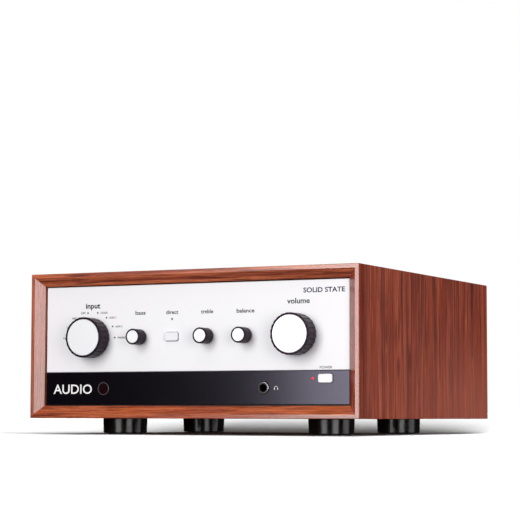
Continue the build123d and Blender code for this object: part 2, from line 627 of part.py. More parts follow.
def rca_socket(x, z):
    """Phono socket: collar through the panel, slim shell, and an insert with a hole for the plug's pin."""
    collar_end = RCA_COLLAR_DEPTH
    shell_end = collar_end + RCA_LENGTH
    floor = collar_end + 2.0
    beyond = shell_end + 1
    shape = rod(x, z, RCA_COLLAR_RADIUS, REAR_PANEL_FRONT_Y - 6, behind(collar_end))
    shape += rod(x, z, RCA_RADIUS, behind(collar_end), behind(shell_end))
    shape -= rod(x, z, RCA_SHELL_INNER, behind(floor), behind(beyond))
    shape += rod(x, z, RCA_INSERT_RADIUS, behind(floor), behind(shell_end - RCA_INSERT_SET_IN))
    return shape - rod(x, z, RCA_PIN_RADIUS, behind(floor - 1.2), behind(beyond))


def speaker_post(x, z):
    """Fixed half of a binding post: flange, stud, and the bore for a 4 mm plug."""
    tail, clamp, inside = REAR_PANEL_FRONT_Y - 12, REAR_PANEL_FRONT_Y - 5, REAR_PANEL_FRONT_Y
    flange_end, stud_end = behind(POST_FLANGE_DEPTH), behind(POST_STUD_REACH)
    bevel = 0.6
    outline = [
        (0, tail), (POST_RADIUS, tail), (POST_RADIUS, clamp), (POST_CAP_RADIUS, clamp),
        (POST_CAP_RADIUS, inside), (POST_NECK_RADIUS, inside), (POST_NECK_RADIUS, REAR_Y),
        (POST_FLANGE_RADIUS, REAR_Y), (POST_FLANGE_RADIUS, flange_end - bevel),
        (POST_FLANGE_RADIUS - bevel, flange_end), (POST_RADIUS, flange_end),
        (POST_RADIUS, stud_end), (0, stud_end),
    ]
    shape = turned_y(outline, x, z)
    shape -= rod(x, z, POST_BORE_RADIUS, stud_end - POST_BORE_DEPTH, stud_end + 1)
    wire_hole = post(x, behind(POST_FLANGE_DEPTH + 1.6), WIRE_HOLE_RADIUS, z - 10, z + 10)
    return shape - wire_hole


def speaker_cap(x, z):
    """Screw cap of a binding post, fluted for the fingers, open down its middle."""
    start, end = behind(POST_FLANGE_DEPTH + 0.3), behind(POST_REACH)
    bore, radius = POST_RADIUS + 0.08, POST_CAP_RADIUS
    inner_bevel, outer_bevel, lip = 0.8, 1.2, 0.9
    outline = [
        (bore, start), (radius - inner_bevel, start), (radius, start + inner_bevel),
        (radius, end - outer_bevel), (radius - outer_bevel, end),
        (POST_BORE_RADIUS + 1.2, end), (POST_BORE_RADIUS + 0.5, end - lip), (bore, end - lip),
    ]
    flute = rod(0, radius + 0.3, 0.85, start + 2.2, end + 1)
    return Pos(x, 0, z) * (turned_y(outline, 0, 0) - ring_of(CAP_FLUTES, flute))


def ground_stud():
    """Threaded stud for a record player's earth wire."""
    x, z = GROUND_PLACE
    shape = rod(x, z, GROUND_STUD_RADIUS, REAR_PANEL_FRONT_Y - 6, behind(11))
    shape += rod(x, z, GROUND_WASHER_RADIUS, REAR_Y, behind(1.2))
    return shape + rod(x, z, GROUND_NECK_RADIUS, REAR_PANEL_FRONT_Y - 2, REAR_Y)


def ground_nut():
    """Fluted thumb nut on the earth stud."""
    x, z = GROUND_PLACE
    start, end = behind(1.5), behind(8.5)
    bore, boss, radius = GROUND_STUD_RADIUS + 0.07, 3.4, GROUND_WASHER_RADIUS
    outline = [
        (bore, start), (boss, start), (boss, start + 1.6), (radius, start + 2.0), (radius, end - 0.5),
        (radius - 0.5, end), (bore, end),
    ]
    flute = rod(0, radius + 0.2, 0.45, start + 1.5, end + 1)
    return Pos(x, 0, z) * (turned_y(outline, 0, 0) - ring_of(20, flute))


def iec_inlet():
    """Mains inlet: flange, deep recess with three blades, and the body behind the panel."""
    centre = Pos(INLET_X, INLET_Z)
    flange = centre * RectangleRounded(*INLET_FLANGE_SIZE, INLET_FLANGE_CORNER)
    shape = plate(flange, REAR_Y, behind(INLET_FLANGE))
    shape += plate(centre * Rectangle(*INLET_BODY), REAR_PANEL_FRONT_Y - 20, REAR_Y)
    half, low, shoulder, top_half = 12.0, -8.0, 3.6, 7.6
    mouth = centre * Polygon(
        (-half, low), (half, low), (half, shoulder), (top_half, -low), (-top_half, -low), (-half, shoulder),
        align=None,
    )
    floor = behind(-INLET_RECESS)
    shape -= plate(mouth, floor, behind(INLET_FLANGE + 1))
    for dx, dz in ((-7, -2), (7, -2), (0, 2)):
        blade = Pos(INLET_X + dx, INLET_Z + dz) * Rectangle(2, 4)
        shape += plate(blade, floor, behind(-2))
    for dx in INLET_SCREW_OFFSETS:
        shape -= rod(INLET_X + dx, INLET_Z, SCREW_RADIUS, REAR_Y - 1, behind(INLET_FLANGE + 1))
    return shape


def rocker_housing():
    """Frame that the mains rocker tips in."""
    centre = Pos(ROCKER_X, INLET_Z)
    bezel, well = RectangleRounded(22.0, 16.0, 1.0), Rectangle(16.4, 11.2)
    shape = plate(centre * bezel, REAR_Y, behind(1.8))
    shape += plate(centre * Rectangle(*ROCKER_BODY), REAR_PANEL_FRONT_Y - 14, REAR_Y)
    return shape - plate(centre * well, behind(-9), behind(3))


def mains_rocker():
    """Two-sided paddle, lying with one end pressed, on a pivot pin across the frame."""
    pivot_y, length, width = behind(-3.0), 15.0, 10.0
    side = make_face(Polyline(
        (-length / 2, 3.2), (0, 4.4), (length / 2, 3.2), (length / 2 - 1, -1.2),
        (2.0, -2.6), (-2.0, -2.6), (-length / 2 + 1, -1.2), close=True,
    ))
    paddle = extrude(side, amount=width / 2, both=True)
    paddle = Rot(0, 0, ROCKER_TILT) * paddle
    return Pos(ROCKER_X, pivot_y, INLET_Z) * paddle


SOCKET_FRONT_Y = REAR_PANEL_FRONT_Y - 9       # how far the digital sockets reach into the cabinet
SOCKET_WALL = 2.0


def shelled_socket(x, shell, hollow, tongue, tongue_lift=0.0):
    """Metal shell round a plastic tongue, as HDMI and USB sockets have."""
    inside = SOCKET_FRONT_Y + SOCKET_WALL
    shape = plate(Pos(x, DIGITAL_Z) * Rectangle(*shell), SOCKET_FRONT_Y, behind(0.8))
    shape -= plate(Pos(x, DIGITAL_Z) * Rectangle(*hollow), inside, behind(2))
    return shape + plate(Pos(x, DIGITAL_Z + tongue_lift) * Rectangle(*tongue), inside, behind(0.3))


def optical_socket(x):
    """Square fibre socket, its shutter set back from its face."""
    socket = plate(Pos(x, DIGITAL_Z) * Rectangle(*OPTICAL_SHELL), SOCKET_FRONT_Y, behind(1.6))
    return socket - plate(Pos(x, DIGITAL_Z) * RectangleRounded(6.4, 6.4, 1.4), behind(0.4), behind(3))


def trigger_socket():
    """3.5 mm socket for switching another unit on."""
    shape = rod(TRIGGER_X, DIGITAL_Z, TRIGGER_RADIUS, SOCKET_FRONT_Y, behind(1.4))
    return shape - rod(TRIGGER_X, DIGITAL_Z, TRIGGER_BORE_RADIUS, SOCKET_FRONT_Y + SOCKET_WALL, behind(3))


def digital_sockets():
    """HDMI, USB, two optical, coaxial and trigger sockets, each its own solid."""
    hdmi = shelled_socket(HDMI_X, HDMI_SHELL, (14.0, 4.6), (11.0, 1.0), 0.4)
    usb = shelled_socket(USB_X, USB_SHELL, (8.4, 7.8), (5.6, 3.2))
    optical = [optical_socket(x) for x in OPTICAL_X]
    return [hdmi, usb, *optical, rca_socket(COAXIAL_X, DIGITAL_Z), trigger_socket()]


def antenna_connector():
    """Threaded aerial connector that the swivelling aerial turns on."""
    x, z = ANTENNA_PLACE
    shape = rod(x, z, AERIAL_THREAD_RADIUS, REAR_PANEL_FRONT_Y - 6, behind(7))
    return shape + rod(x, z, 4.6, REAR_Y, behind(2))


def antenna():
    """Aerial with a right-angle foot, lying level and pointing towards the middle of the panel."""
    x, z = ANTENNA_PLACE
    foot_start, foot_end, foot_radius = behind(2.4), behind(22), 5.4
    mast_radius, tip_radius, reach = 5.0, 3.6, 62.0
    mast_y = behind(16.6)          # clears the sleeve's back edge when it points up
    shape = rod(x, z, foot_radius, foot_start, foot_end)
    shape = fillet(shape.edges().group_by(Axis.Y)[-1], 1.6)
    mast = Pos(x - reach / 2, mast_y, z) * Rot(0, -90, 0) * Cone(mast_radius, tip_radius, reach)
    shape += fillet(mast.edges().sort_by(Axis.X)[0], 1.8)
    return shape - rod(x, z, AERIAL_THREAD_RADIUS + 0.07, foot_start - 1, behind(8))


# ---------------------------------------------------------------- fasteners
SCREW_RADIUS = 1.5
SCREW_HEAD_RADIUS, SCREW_HEAD = 3.0, 2.0
REAR_SCREW_PLACES = [
    (x, z) for x in (-154.0, 154.0) for z in (FLOOR_Z + 22.0, FLOOR_Z + 70.0, FLOOR_Z + 116.0)
] + [(x, FLOOR_Z + 118.0) for x in (-60.0, 60.0)]


def rear_screw(x, z, seat_y):
    """Pan-head cross screw seen from behind."""
    head = rod(x, z, SCREW_HEAD_RADIUS, seat_y, seat_y + SCREW_HEAD)
    head = fillet(head.edges().group_by(Axis.Y)[-1], 1.2)
    shape = head + rod(x, z, SCREW_RADIUS, REAR_PANEL_FRONT_Y - 5, seat_y)
    long, short = 3.2, 0.7
    for width, height in ((long, short), (short, long)):
        shape -= plate(Pos(x, z) * Rectangle(width, height), seat_y + 0.9, seat_y + SCREW_HEAD + 1)
    return shape


# ---------------------------------------------------------------- what is inside
TRANSFORMER_PLACE = (-72.0, RIM_Y + 150.0)
TRANSFORMER_RADIUS, TRANSFORMER_HEIGHT = 62.0, 56.0
CLAMP_BOLT_RADIUS, CLAMP_THICKNESS = 4.0, 2.0
TRANSFORMER_LOW_Z = TRAY_Z + CLAMP_THICKNESS
TRANSFORMER_HIGH_Z = TRANSFORMER_LOW_Z + TRANSFORMER_HEIGHT
STANDOFF_HEIGHT = 8.0
BOARD_LOW_Z = TRAY_Z + STANDOFF_HEIGHT
BOARD_TOP_Z = BOARD_LOW_Z + BOARD_THICKNESS
CAN_RADIUS, CAN_HEIGHT = 17.5, 45.0
BOARD_X, BOARD_Y = (40.0, 152.0), (RIM_Y + 84.0, RIM_Y + 296.0)
HEATSINK_X, HEATSINK_Y = (-4.0, 34.0), (RIM_Y + 120.0, RIM_Y + 296.0)
HEATSINK_LOW_Z = TRAY_Z + 4.0
HEATSINK_HIGH_Z = HEATSINK_LOW_Z + 84.0
WEB_THICKNESS, FINS, FIN_THICKNESS = 8.0, 16, 3.0
HEATSINK_FOOT = 10.0
INPUT_BOARD_Z = FLOOR_Z + 74.0


def toroidal_transformer():
    """Ring-wound mains transformer, with rounded shoulders and an open middle."""
    x, y = TRANSFORMER_PLACE
    hole_radius, shoulder = 16.0, 12.0
    middle = Pos((hole_radius + TRANSFORMER_RADIUS) / 2, (TRANSFORMER_LOW_Z + TRANSFORMER_HIGH_Z) / 2)
    section = RectangleRounded(TRANSFORMER_RADIUS - hole_radius, TRANSFORMER_HEIGHT, shoulder)
    return Pos(x, y, 0) * revolve(Plane.XZ * middle * section, Axis.Z)


def transformer_clamp():
    """Dished plate, insulating disc and bolt that hold the transformer down."""
    x, y = TRANSFORMER_PLACE
    dish_top = TRANSFORMER_HIGH_Z + CLAMP_THICKNESS
    hole = post(x, y, CLAMP_BOLT_RADIUS + 0.2, TRAY_Z - 1, dish_top + 1)
    dish = post(x, y, 34.0, TRANSFORMER_HIGH_Z, dish_top) - hole
    disc = post(x, y, 58.0, TRAY_Z, TRANSFORMER_LOW_Z) - hole
    bolt = post(x, y, CLAMP_BOLT_RADIUS, INNER_LOW_Z + 0.1, dish_top)
    head = extrude(Pos(x, y, dish_top) * RegularPolygon(7.5, 6), amount=5.0)
    return [dish, disc, bolt + head]


def main_board():
    """Amplifier board with its relays and rectifier, on six pillars."""
    board = block(BOARD_X, BOARD_Y, (BOARD_LOW_Z, BOARD_TOP_Z))
    inset = 6.0
    pillars = [
        post(x, y, STANDOFF_RADIUS, TRAY_Z, BOARD_LOW_Z)
        for x in (BOARD_X[0] + inset, BOARD_X[1] - inset)
        for y in (BOARD_Y[0] + inset, sum(BOARD_Y) / 2, BOARD_Y[1] - inset)
    ]
    relay_y, relay_z = (BOARD_Y[1] - 44, BOARD_Y[1] - 16), (BOARD_TOP_Z, BOARD_TOP_Z + 18)
    relays = [block((x - 10, x + 10), relay_y, relay_z) for x in (70.0, 100.0)]
    rectifier_y, rectifier_z = (BOARD_Y[0] + 60, BOARD_Y[0] + 90), (BOARD_TOP_Z, BOARD_TOP_Z + 22)
    return [board, *pillars, *relays, block((132.0, 138.0), rectifier_y, rectifier_z)]


def reservoir_capacitors():
    """Four smoothing capacitors standing on the amplifier board."""
    places = [(x, BOARD_Y[0] + y) for x in (74.0, 112.0) for y in (26.0, 64.0)]
    cans = [post(x, y, CAN_RADIUS, BOARD_TOP_Z, BOARD_TOP_Z + CAN_HEIGHT) for x, y in places]
    return [fillet(can.edges().group_by(Axis.Z)[-1], 1.5) for can in cans]


def heatsink():
    """Extruded heatsink: a thick web with fins on the transformer's side."""
    height = (HEATSINK_LOW_Z, HEATSINK_HIGH_Z)
    fin_end, face = HEATSINK_X[1] - WEB_THICKNESS, HEATSINK_X[1]
    start, end = HEATSINK_Y
    shape = block((fin_end, face), HEATSINK_Y, height)
    pitch = (end - start - FIN_THICKNESS) / (FINS - 1)
    for k in range(FINS):
        y = start + pitch * k
        shape += block((HEATSINK_X[0], fin_end), (y, y + FIN_THICKNESS), height)
    for span in ((start, start + HEATSINK_FOOT), (end - HEATSINK_FOOT, end)):
        shape += block((fin_end, face), span, (TRAY_Z, HEATSINK_LOW_Z))
    return shape


def output_transistors():
    """Four power transistors flat against the heatsink's web."""
    face, low = HEATSINK_X[1], TRAY_Z + 34.0
    places = [HEATSINK_Y[0] + offset for offset in (24, 60, 110, 146)]
    return [block((face, face + 5), (y - 8, y + 8), (low, low + 20)) for y in places]


def input_board():
    """Board that the rear sockets are soldered to."""
    top = INPUT_BOARD_Z + BOARD_THICKNESS
    depth = (REAR_PANEL_FRONT_Y - 74, REAR_PANEL_FRONT_Y - 7)
    chip_depth = (REAR_PANEL_FRONT_Y - 56, REAR_PANEL_FRONT_Y - 44)
    board = block((34.0, 146.0), depth, (INPUT_BOARD_Z, top))
    chips = [block((x - 6, x + 6), chip_depth, (top, top + 2)) for x in (60.0, 90.0, 120.0)]
    return [board, *chips]


def front_board():
    """Control board behind the subpanel, cut away for the volume control and the headphone socket."""
    low, high = TRAY_Z + 4, FLOOR_Z + 112.0
    left, right, volume_left = -150.0, 155.0, 84.0
    jack_half = JACK_BODY_HALF + 1
    through = (FRONT_BOARD_Y - 1, FRONT_BOARD_Y + BOARD_THICKNESS + 1)
    board = block((left, right), (FRONT_BOARD_Y, FRONT_BOARD_Y + BOARD_THICKNESS), (low, high))
    board -= block((volume_left, right + 1), through, (FLOOR_Z + 56, high + 1))
    board -= block((JACK_X - jack_half, JACK_X + jack_half), through, (low - 1, STRIP_Z + jack_half))
    receiver_x, receiver_z = (WINDOW_X - 3.5, WINDOW_X + 3.5), (STRIP_Z - 4, STRIP_Z + 4)
    return [board, block(receiver_x, (FRONT_BOARD_Y - 5, FRONT_BOARD_Y), receiver_z)]


# ---------------------------------------------------------------- write every node
os.makedirs("parts", exist_ok=True)

for side, board in sleeve().items():
    write(f"sleeve_{side}", board)
for corner, (x, y) in FEET.items():
    write(f"foot_{corner}", foot(x, y))
write("foot_pads", *[foot_pad(x, y) for x, y in FEET.values()])
write("foot_screws", *[foot_screw(x, y) for x, y in FEET.values()])

write("chassis_base", chassis_base())
write("front_subpanel", front_subpanel())
write("rear_panel", rear_panel())
write("top_cover", top_cover())
write("fascia_upper", fascia_upper())
write("fascia_lower", fascia_lower())

for name in ROTARY:
    write(f"{name}_knob", knob(name))
    write(f"{name}_knob_cap", knob_cap(name))
    write(f"{name}_shaft", control_shaft(name))
write("input_selector", input_selector())
write("volume_potentiometer", volume_potentiometer())
write("tone_potentiometers", *[tone_potentiometer(name) for name in ("bass", "treble", "balance")])
nuts = [control_nut(x) for x, _, _ in ROTARY.values()]
screws = [rear_screw(x, z, REAR_Y) for x, z in REAR_SCREW_PLACES]
screws += [rear_screw(INLET_X + dx, INLET_Z, behind(INLET_FLANGE)) for dx in INLET_SCREW_OFFSETS]
write("panel_fasteners", *nuts, *screws)

write("direct_button", button(DIRECT_X, CONTROL_Z))
write("power_button", button(POWER_X, POWER_Z))
write("tact_switches", tact_switch(DIRECT_X, CONTROL_Z), tact_switch(POWER_X, POWER_Z))
lamps = [lamp(POWER_LED_X, POWER_Z, LED_RADIUS, 1.2), lamp(DIRECT_X, DIRECT_LED_Z, DIRECT_LED_RADIUS, 0.1)]
write("indicator_leds", *lamps)
write("ir_window", ir_window())
write("headphone_jack", headphone_jack())

write("rca_sockets", *[rca_socket(x, z) for x in RCA_COLUMNS for z in (RCA_LOW_Z, RCA_HIGH_Z)])
posts = [speaker_post(x, z) for x, z in POST_PLACES.values()]
write("speaker_posts", *posts, ground_stud())
for name, (x, z) in POST_PLACES.items():
    write(f"speaker_cap_{name}", speaker_cap(x, z))
write("ground_nut", ground_nut())
write("iec_inlet", iec_inlet(), rocker_housing())
write("mains_rocker", mains_rocker())
write("digital_sockets", *digital_sockets(), antenna_connector())
write("antenna", antenna())

write("toroidal_transformer", toroidal_transformer())
write("transformer_clamp", *transformer_clamp())
write("main_board", *main_board())
write("reservoir_capacitors", *reservoir_capacitors())
write("heatsink", heatsink())
write("output_transistors", *output_transistors())
write("input_board", *input_board())
write("front_board", *front_board())
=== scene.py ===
import math

import bmesh
import bpy
from mathutils import Matrix, Vector


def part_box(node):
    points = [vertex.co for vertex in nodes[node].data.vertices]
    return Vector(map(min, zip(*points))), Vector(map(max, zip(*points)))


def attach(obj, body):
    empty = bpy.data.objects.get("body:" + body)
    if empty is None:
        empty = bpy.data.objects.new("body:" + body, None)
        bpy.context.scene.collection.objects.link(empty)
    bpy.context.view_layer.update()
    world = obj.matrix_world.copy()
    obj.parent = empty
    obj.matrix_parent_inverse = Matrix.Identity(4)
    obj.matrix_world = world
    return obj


# The looks of a stereo amplifier in a walnut sleeve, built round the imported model.
# +X is to the right seen from the front, +Y to the back, +Z up. Lengths are metres. MM turns millimetres
# into metres, and TO_MM turns metres into millimetres.

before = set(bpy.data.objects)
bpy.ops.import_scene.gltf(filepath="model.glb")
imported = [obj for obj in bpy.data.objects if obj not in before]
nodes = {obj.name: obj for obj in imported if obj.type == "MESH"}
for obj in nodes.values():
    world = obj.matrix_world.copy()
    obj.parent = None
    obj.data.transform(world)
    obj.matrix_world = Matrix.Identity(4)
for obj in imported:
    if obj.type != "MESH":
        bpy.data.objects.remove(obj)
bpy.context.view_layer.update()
MM = 0.001
TO_MM = 1000

# ---------------------------------------------------------------- places read from the frame
RIM_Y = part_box("sleeve_right")[0].y
CABINET_LOW_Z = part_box("sleeve_bottom")[0].z
FASCIA_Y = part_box("fascia_upper")[0].y
STRIP_TOP_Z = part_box("fascia_lower")[1].z
REAR_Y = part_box("rear_panel")[1].y


def middle(node):
    """The middle of a CAD node's box."""
    low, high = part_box(node)
    return (low + high) / 2


# ---------------------------------------------------------------- camera
CAMERA_OFFSET = Vector((874.8, -1596.0, 3.4)) * MM      # from the middle of the sleeve's lower front edge
CAMERA_YAW, CAMERA_PITCH, CAMERA_ROLL = math.radians(26.59), math.radians(4.60), math.radians(0.128)
LENS, SENSOR = 133.46, 36.0


def add_camera():
    """A long lens just above the floor, to the right of the object and looking slightly up."""
    ahead = Vector((
        -math.sin(CAMERA_YAW) * math.cos(CAMERA_PITCH),
        math.cos(CAMERA_YAW) * math.cos(CAMERA_PITCH),
        math.sin(CAMERA_PITCH),
    ))
    level = Vector((math.cos(CAMERA_YAW), math.sin(CAMERA_YAW), 0.0))
    up = level.cross(ahead)
    right = level * math.cos(CAMERA_ROLL) + up * math.sin(CAMERA_ROLL)
    up = right.cross(ahead)
    data = bpy.data.cameras.new("camera")
    data.lens = LENS
    data.sensor_width = SENSOR
    data.clip_end = 100.0
    camera = bpy.data.objects.new("camera", data)
    turn = Matrix((right, up, -ahead)).transposed().to_4x4()
    place = Vector((0.0, RIM_Y, CABINET_LOW_Z)) + CAMERA_OFFSET
    camera.matrix_world = Matrix.Translation(place) @ turn
    bpy.context.scene.collection.objects.link(camera)
    bpy.context.scene.camera = camera


# ---------------------------------------------------------------- floor and light
# The paper floor from front to back: flat under the feet, a little lower ahead and a little higher behind.
FLOOR_PROFILE = (
    (-15.0, -0.009), (-0.55, -0.009), (-0.35, -0.006), (-0.20, -0.0012), (-0.15, 0.0),
    (0.16, 0.0), (0.19, 0.002), (0.26, 0.010), (0.33, 0.016), (0.42, 0.020), (0.60, 0.023), (15.0, 0.023),
)
FLOOR_HALF_WIDTH = 15.0
FLOOR_PAPER = (0.30, 0.30, 0.30)
# The floor has a broad light of its own, so that its shadow stays soft.
FLOOR_LIGHT_STRENGTH, FLOOR_LIGHT_SOFTNESS = 20.0, math.radians(75)
FLOOR_LIGHT_TILT, FLOOR_LIGHT_TURN = math.radians(58), math.radians(36)
# Each softbox stands upright: its middle (x, y), its width and height, and its watts.
SOFTBOXES = {
    "key_softbox": ((-0.30, -2.08), (0.95, 1.50), 33.0),
    "side_softbox": ((0.95, -0.95), (0.60, 0.65), 5.6),
    "fill_softbox": ((1.70, 0.25), (1.00, 1.20), 9.0),
    "back_softbox": ((-1.10, 2.20), (1.60, 1.20), 30.0),
}
AIM = Vector((0.0, -0.1))                       # where the softboxes face
SOFTBOX_SINK = 0.12                             # how far the softboxes reach below the floor
SKY_OVERHEAD, SKY_BEHIND, SKY_BELOW, SKY_AHEAD = 1.55, 0.25, 0.12, 0.008
SKY_IN_GLOSS = 0.10                             # how much of the sky shows in polished surfaces
# Each zone of the sky: the axis it is measured along, where on it the zone starts and ends, and its strength.
SKY_ZONES = (
    ("Z", 0.55, 0.90, SKY_OVERHEAD), ("Y", 0.10, 0.90, SKY_BEHIND), ("Z", -0.05, -0.35, SKY_BELOW),
)
PAPER_ROUGHNESS = 0.9


def soft_light(name, place, size, power):
    """An upright softbox that faces the object and isn't seen by the camera."""
    data = bpy.data.lights.new(name, "AREA")
    data.shape = "RECTANGLE"
    data.size, data.size_y = size
    data.energy = power
    light = bpy.data.objects.new(name, data)
    towards = AIM - Vector(place)
    light.location = (*place, size[1] / 2 - SOFTBOX_SINK)
    light.rotation_euler = (math.radians(90), 0, math.atan2(-towards.x, towards.y))
    light.visible_camera = False
    bpy.context.scene.collection.objects.link(light)
    return light


def floor_light():
    """A broad light from the front right that only the floor takes."""
    data = bpy.data.lights.new("floor_light", "SUN")
    data.energy = FLOOR_LIGHT_STRENGTH
    data.angle = FLOOR_LIGHT_SOFTNESS
    light = bpy.data.objects.new("floor_light", data)
    light.rotation_euler = (FLOOR_LIGHT_TILT, 0, FLOOR_LIGHT_TURN)
    bpy.context.scene.collection.objects.link(light)
    return light


def light_floor(light, floor, lit):
    """Makes a light fall on the floor alone, or on everything but the floor."""
    group = bpy.data.collections.new(f"{light.name}_floor")
    group.objects.link(floor)
    group.collection_objects[0].light_linking.link_state = "INCLUDE" if lit else "EXCLUDE"
    light.light_linking.receiver_collection = group


def add_sky():
    """A studio that is bright overhead, dim ahead and paler behind, and looks white to the camera."""
    world = bpy.data.worlds.new("studio")
    bpy.context.scene.world = world
    world.use_nodes = True
    tree = world.node_tree
    tree.nodes.clear()
    new, link = tree.nodes.new, tree.links.new

    def combined(operation, first, second):
        made = new("ShaderNodeMath")
        made.operation = operation
        for socket, value in zip(made.inputs, (first, second)):
            if isinstance(value, bpy.types.NodeSocket):
                link(value, socket)
            else:
                socket.default_value = value
        return made.outputs[0]

    def zone(value, start, end, low, high):
        made = new("ShaderNodeMapRange")
        made.interpolation_type = "SMOOTHSTEP"
        for socket, number in zip(("From Min", "From Max", "To Min", "To Max"), (start, end, low, high)):
            made.inputs[socket].default_value = number
        link(value, made.inputs["Value"])
        return made.outputs[0]

    where = new("ShaderNodeTexCoord")
    split = new("ShaderNodeSeparateXYZ")
    rays = new("ShaderNodeLightPath")
    link(where.outputs["Generated"], split.inputs[0])
    total = SKY_AHEAD
    for axis, start, end, strength in SKY_ZONES:
        total = combined("ADD", total, zone(split.outputs[axis], start, end, 0.0, strength))
    total = combined("MULTIPLY", total, zone(rays.outputs["Is Glossy Ray"], 0.0, 1.0, 1.0, SKY_IN_GLOSS))
    lit = new("ShaderNodeBackground")
    seen = new("ShaderNodeBackground")
    seen.inputs["Color"].default_value = (1.0, 1.0, 1.0, 1.0)
    link(total, lit.inputs["Strength"])
    join = new("ShaderNodeMixShader")
    out = new("ShaderNodeOutputWorld")
    link(rays.outputs["Is Camera Ray"], join.inputs[0])
    link(lit.outputs[0], join.inputs[1])
    link(seen.outputs[0], join.inputs[2])
    link(join.outputs[0], out.inputs[0])


def add_studio():
    """Pale paper that takes shadows but throws no light back, so that the sky alone sets the fill."""
    mesh = bpy.data.meshes.new("floor")
    corners = [(side * FLOOR_HALF_WIDTH, y, z) for y, z in FLOOR_PROFILE for side in (-1, 1)]
    strips = [(2 * k, 2 * k + 1, 2 * k + 3, 2 * k + 2) for k in range(len(FLOOR_PROFILE) - 1)]
    mesh.from_pydata(corners, [], strips)
    for face in mesh.polygons:
        face.use_smooth = True
    floor = bpy.data.objects.new("floor", mesh)
    bpy.context.scene.collection.objects.link(floor)
    floor.visible_diffuse = floor.visible_glossy = floor.visible_shadow = False
    paper = Surface("floor_paper", FLOOR_PAPER, roughness=PAPER_ROUGHNESS, specular=0.0)
    floor.data.materials.append(paper.material)
    add_sky()
    for name, values in SOFTBOXES.items():
        softbox = soft_light(name, *values)
        softbox.visible_glossy = name != "back_softbox"
        light_floor(softbox, floor, False)
    light_floor(floor_light(), floor, True)


# ---------------------------------------------------------------- material helper
class Surface:
    """A Principled material, with short calls for the nodes that its detail is made of."""

    def __init__(self, name, color, roughness=0.5, metallic=0.0, specular=0.5, coat=0.0, coat_roughness=0.1):
        self.material = bpy.data.materials.new(name)
        self.material.use_nodes = True
        self.tree = self.material.node_tree
        self.shader = self.tree.nodes["Principled BSDF"]
        self.set("Base Color", (*color, 1.0))
        self.set("Roughness", roughness)
        self.set("Metallic", metallic)
        self.set("Specular IOR Level", specular)
        if coat:
            self.set("Coat Weight", coat)
            self.set("Coat Roughness", coat_roughness)

    def set(self, socket, value):
        self.shader.inputs[socket].default_value = value

    def feed(self, socket, output):
        self.tree.links.new(output, self.shader.inputs[socket])

    def node(self, kind, **values):
        """A new node with its inputs set or linked. Lower-case names stand for the inputs' titles."""
        made = self.tree.nodes.new(kind)
        for name, value in values.items():
            self.put(made.inputs[name.replace("_", " ").title() if name.islower() else name], value)
        return made

    def put(self, socket, value):
        if isinstance(value, bpy.types.NodeSocket):
            self.tree.links.new(value, socket)
        else:
            socket.default_value = value

    def place(self, scale=(1, 1, 1), shift=(0, 0, 0)):
        """Object coordinates in millimetres, stretched and shifted."""
        where = self.tree.nodes.new("ShaderNodeTexCoord")
        fit = self.tree.nodes.new("ShaderNodeMapping")
        self.tree.links.new(where.outputs["Object"], fit.inputs["Vector"])
        fit.inputs["Scale"].default_value = [TO_MM * part for part in scale]
        fit.inputs["Location"].default_value = shift
        return fit.outputs["Vector"]

    def noise(self, vector, size, detail=2.0, roughness=0.5, distortion=0.0):
        """Noise whose blotches are about this many millimetres across, before any stretching."""
        made = self.node(
            "ShaderNodeTexNoise", vector=vector, scale=1.0 / size, detail=detail,
            roughness=roughness, distortion=distortion,
        )
        return made.outputs["Fac"]

    def radius(self, centre):
        """Distance in millimetres from an axis along Y through this point."""
        where = self.place((1, 0, 1), (-TO_MM * centre.x, 0.0, -TO_MM * centre.z))
        length = self.tree.nodes.new("ShaderNodeVectorMath")
        length.operation = "LENGTH"
        self.tree.links.new(where, length.inputs[0])
        return length.outputs["Value"]

    def cells(self, vector, size):
        """Distance from the nearest of scattered points that are about this many millimetres apart."""
        return self.node("ShaderNodeTexVoronoi", vector=vector, scale=1.0 / size).outputs["Distance"]

    def span(self, value, low, high, to_low=0.0, to_high=1.0):
        """A smooth step from one value to another as the input goes from low to high."""
        made = self.tree.nodes.new("ShaderNodeMapRange")
        made.interpolation_type = "SMOOTHSTEP"
        for socket, number in zip(("From Min", "From Max", "To Min", "To Max"), (low, high, to_low, to_high)):
            made.inputs[socket].default_value = number
        self.tree.links.new(value, made.inputs["Value"])
        return made.outputs[0]

    def math(self, operation, first, second=0.0):
        made = self.tree.nodes.new("ShaderNodeMath")
        made.operation = operation
        self.put(made.inputs[0], first)
        self.put(made.inputs[1], second)
        return made.outputs[0]

    def mix(self, amount, first, second, blend="MIX"):
        made = self.tree.nodes.new("ShaderNodeMix")
        made.data_type = "RGBA"
        made.blend_type = blend
        self.put(made.inputs["Factor"], amount)
        for socket, color in ((made.inputs[6], first), (made.inputs[7], second)):
            self.put(socket, (*color, 1.0) if isinstance(color, tuple) else color)
        return made.outputs[2]

    def bump(self, height, distance, strength):
        """Relief of this many metres."""
        made = self.node("ShaderNodeBump", height=height, distance=distance, strength=strength)
        self.feed("Normal", made.outputs["Normal"])


def dress(node, surface):
    """Gives a CAD node's object one material."""
    materials = nodes[node].data.materials
    materials.clear()
    materials.append(surface.material)


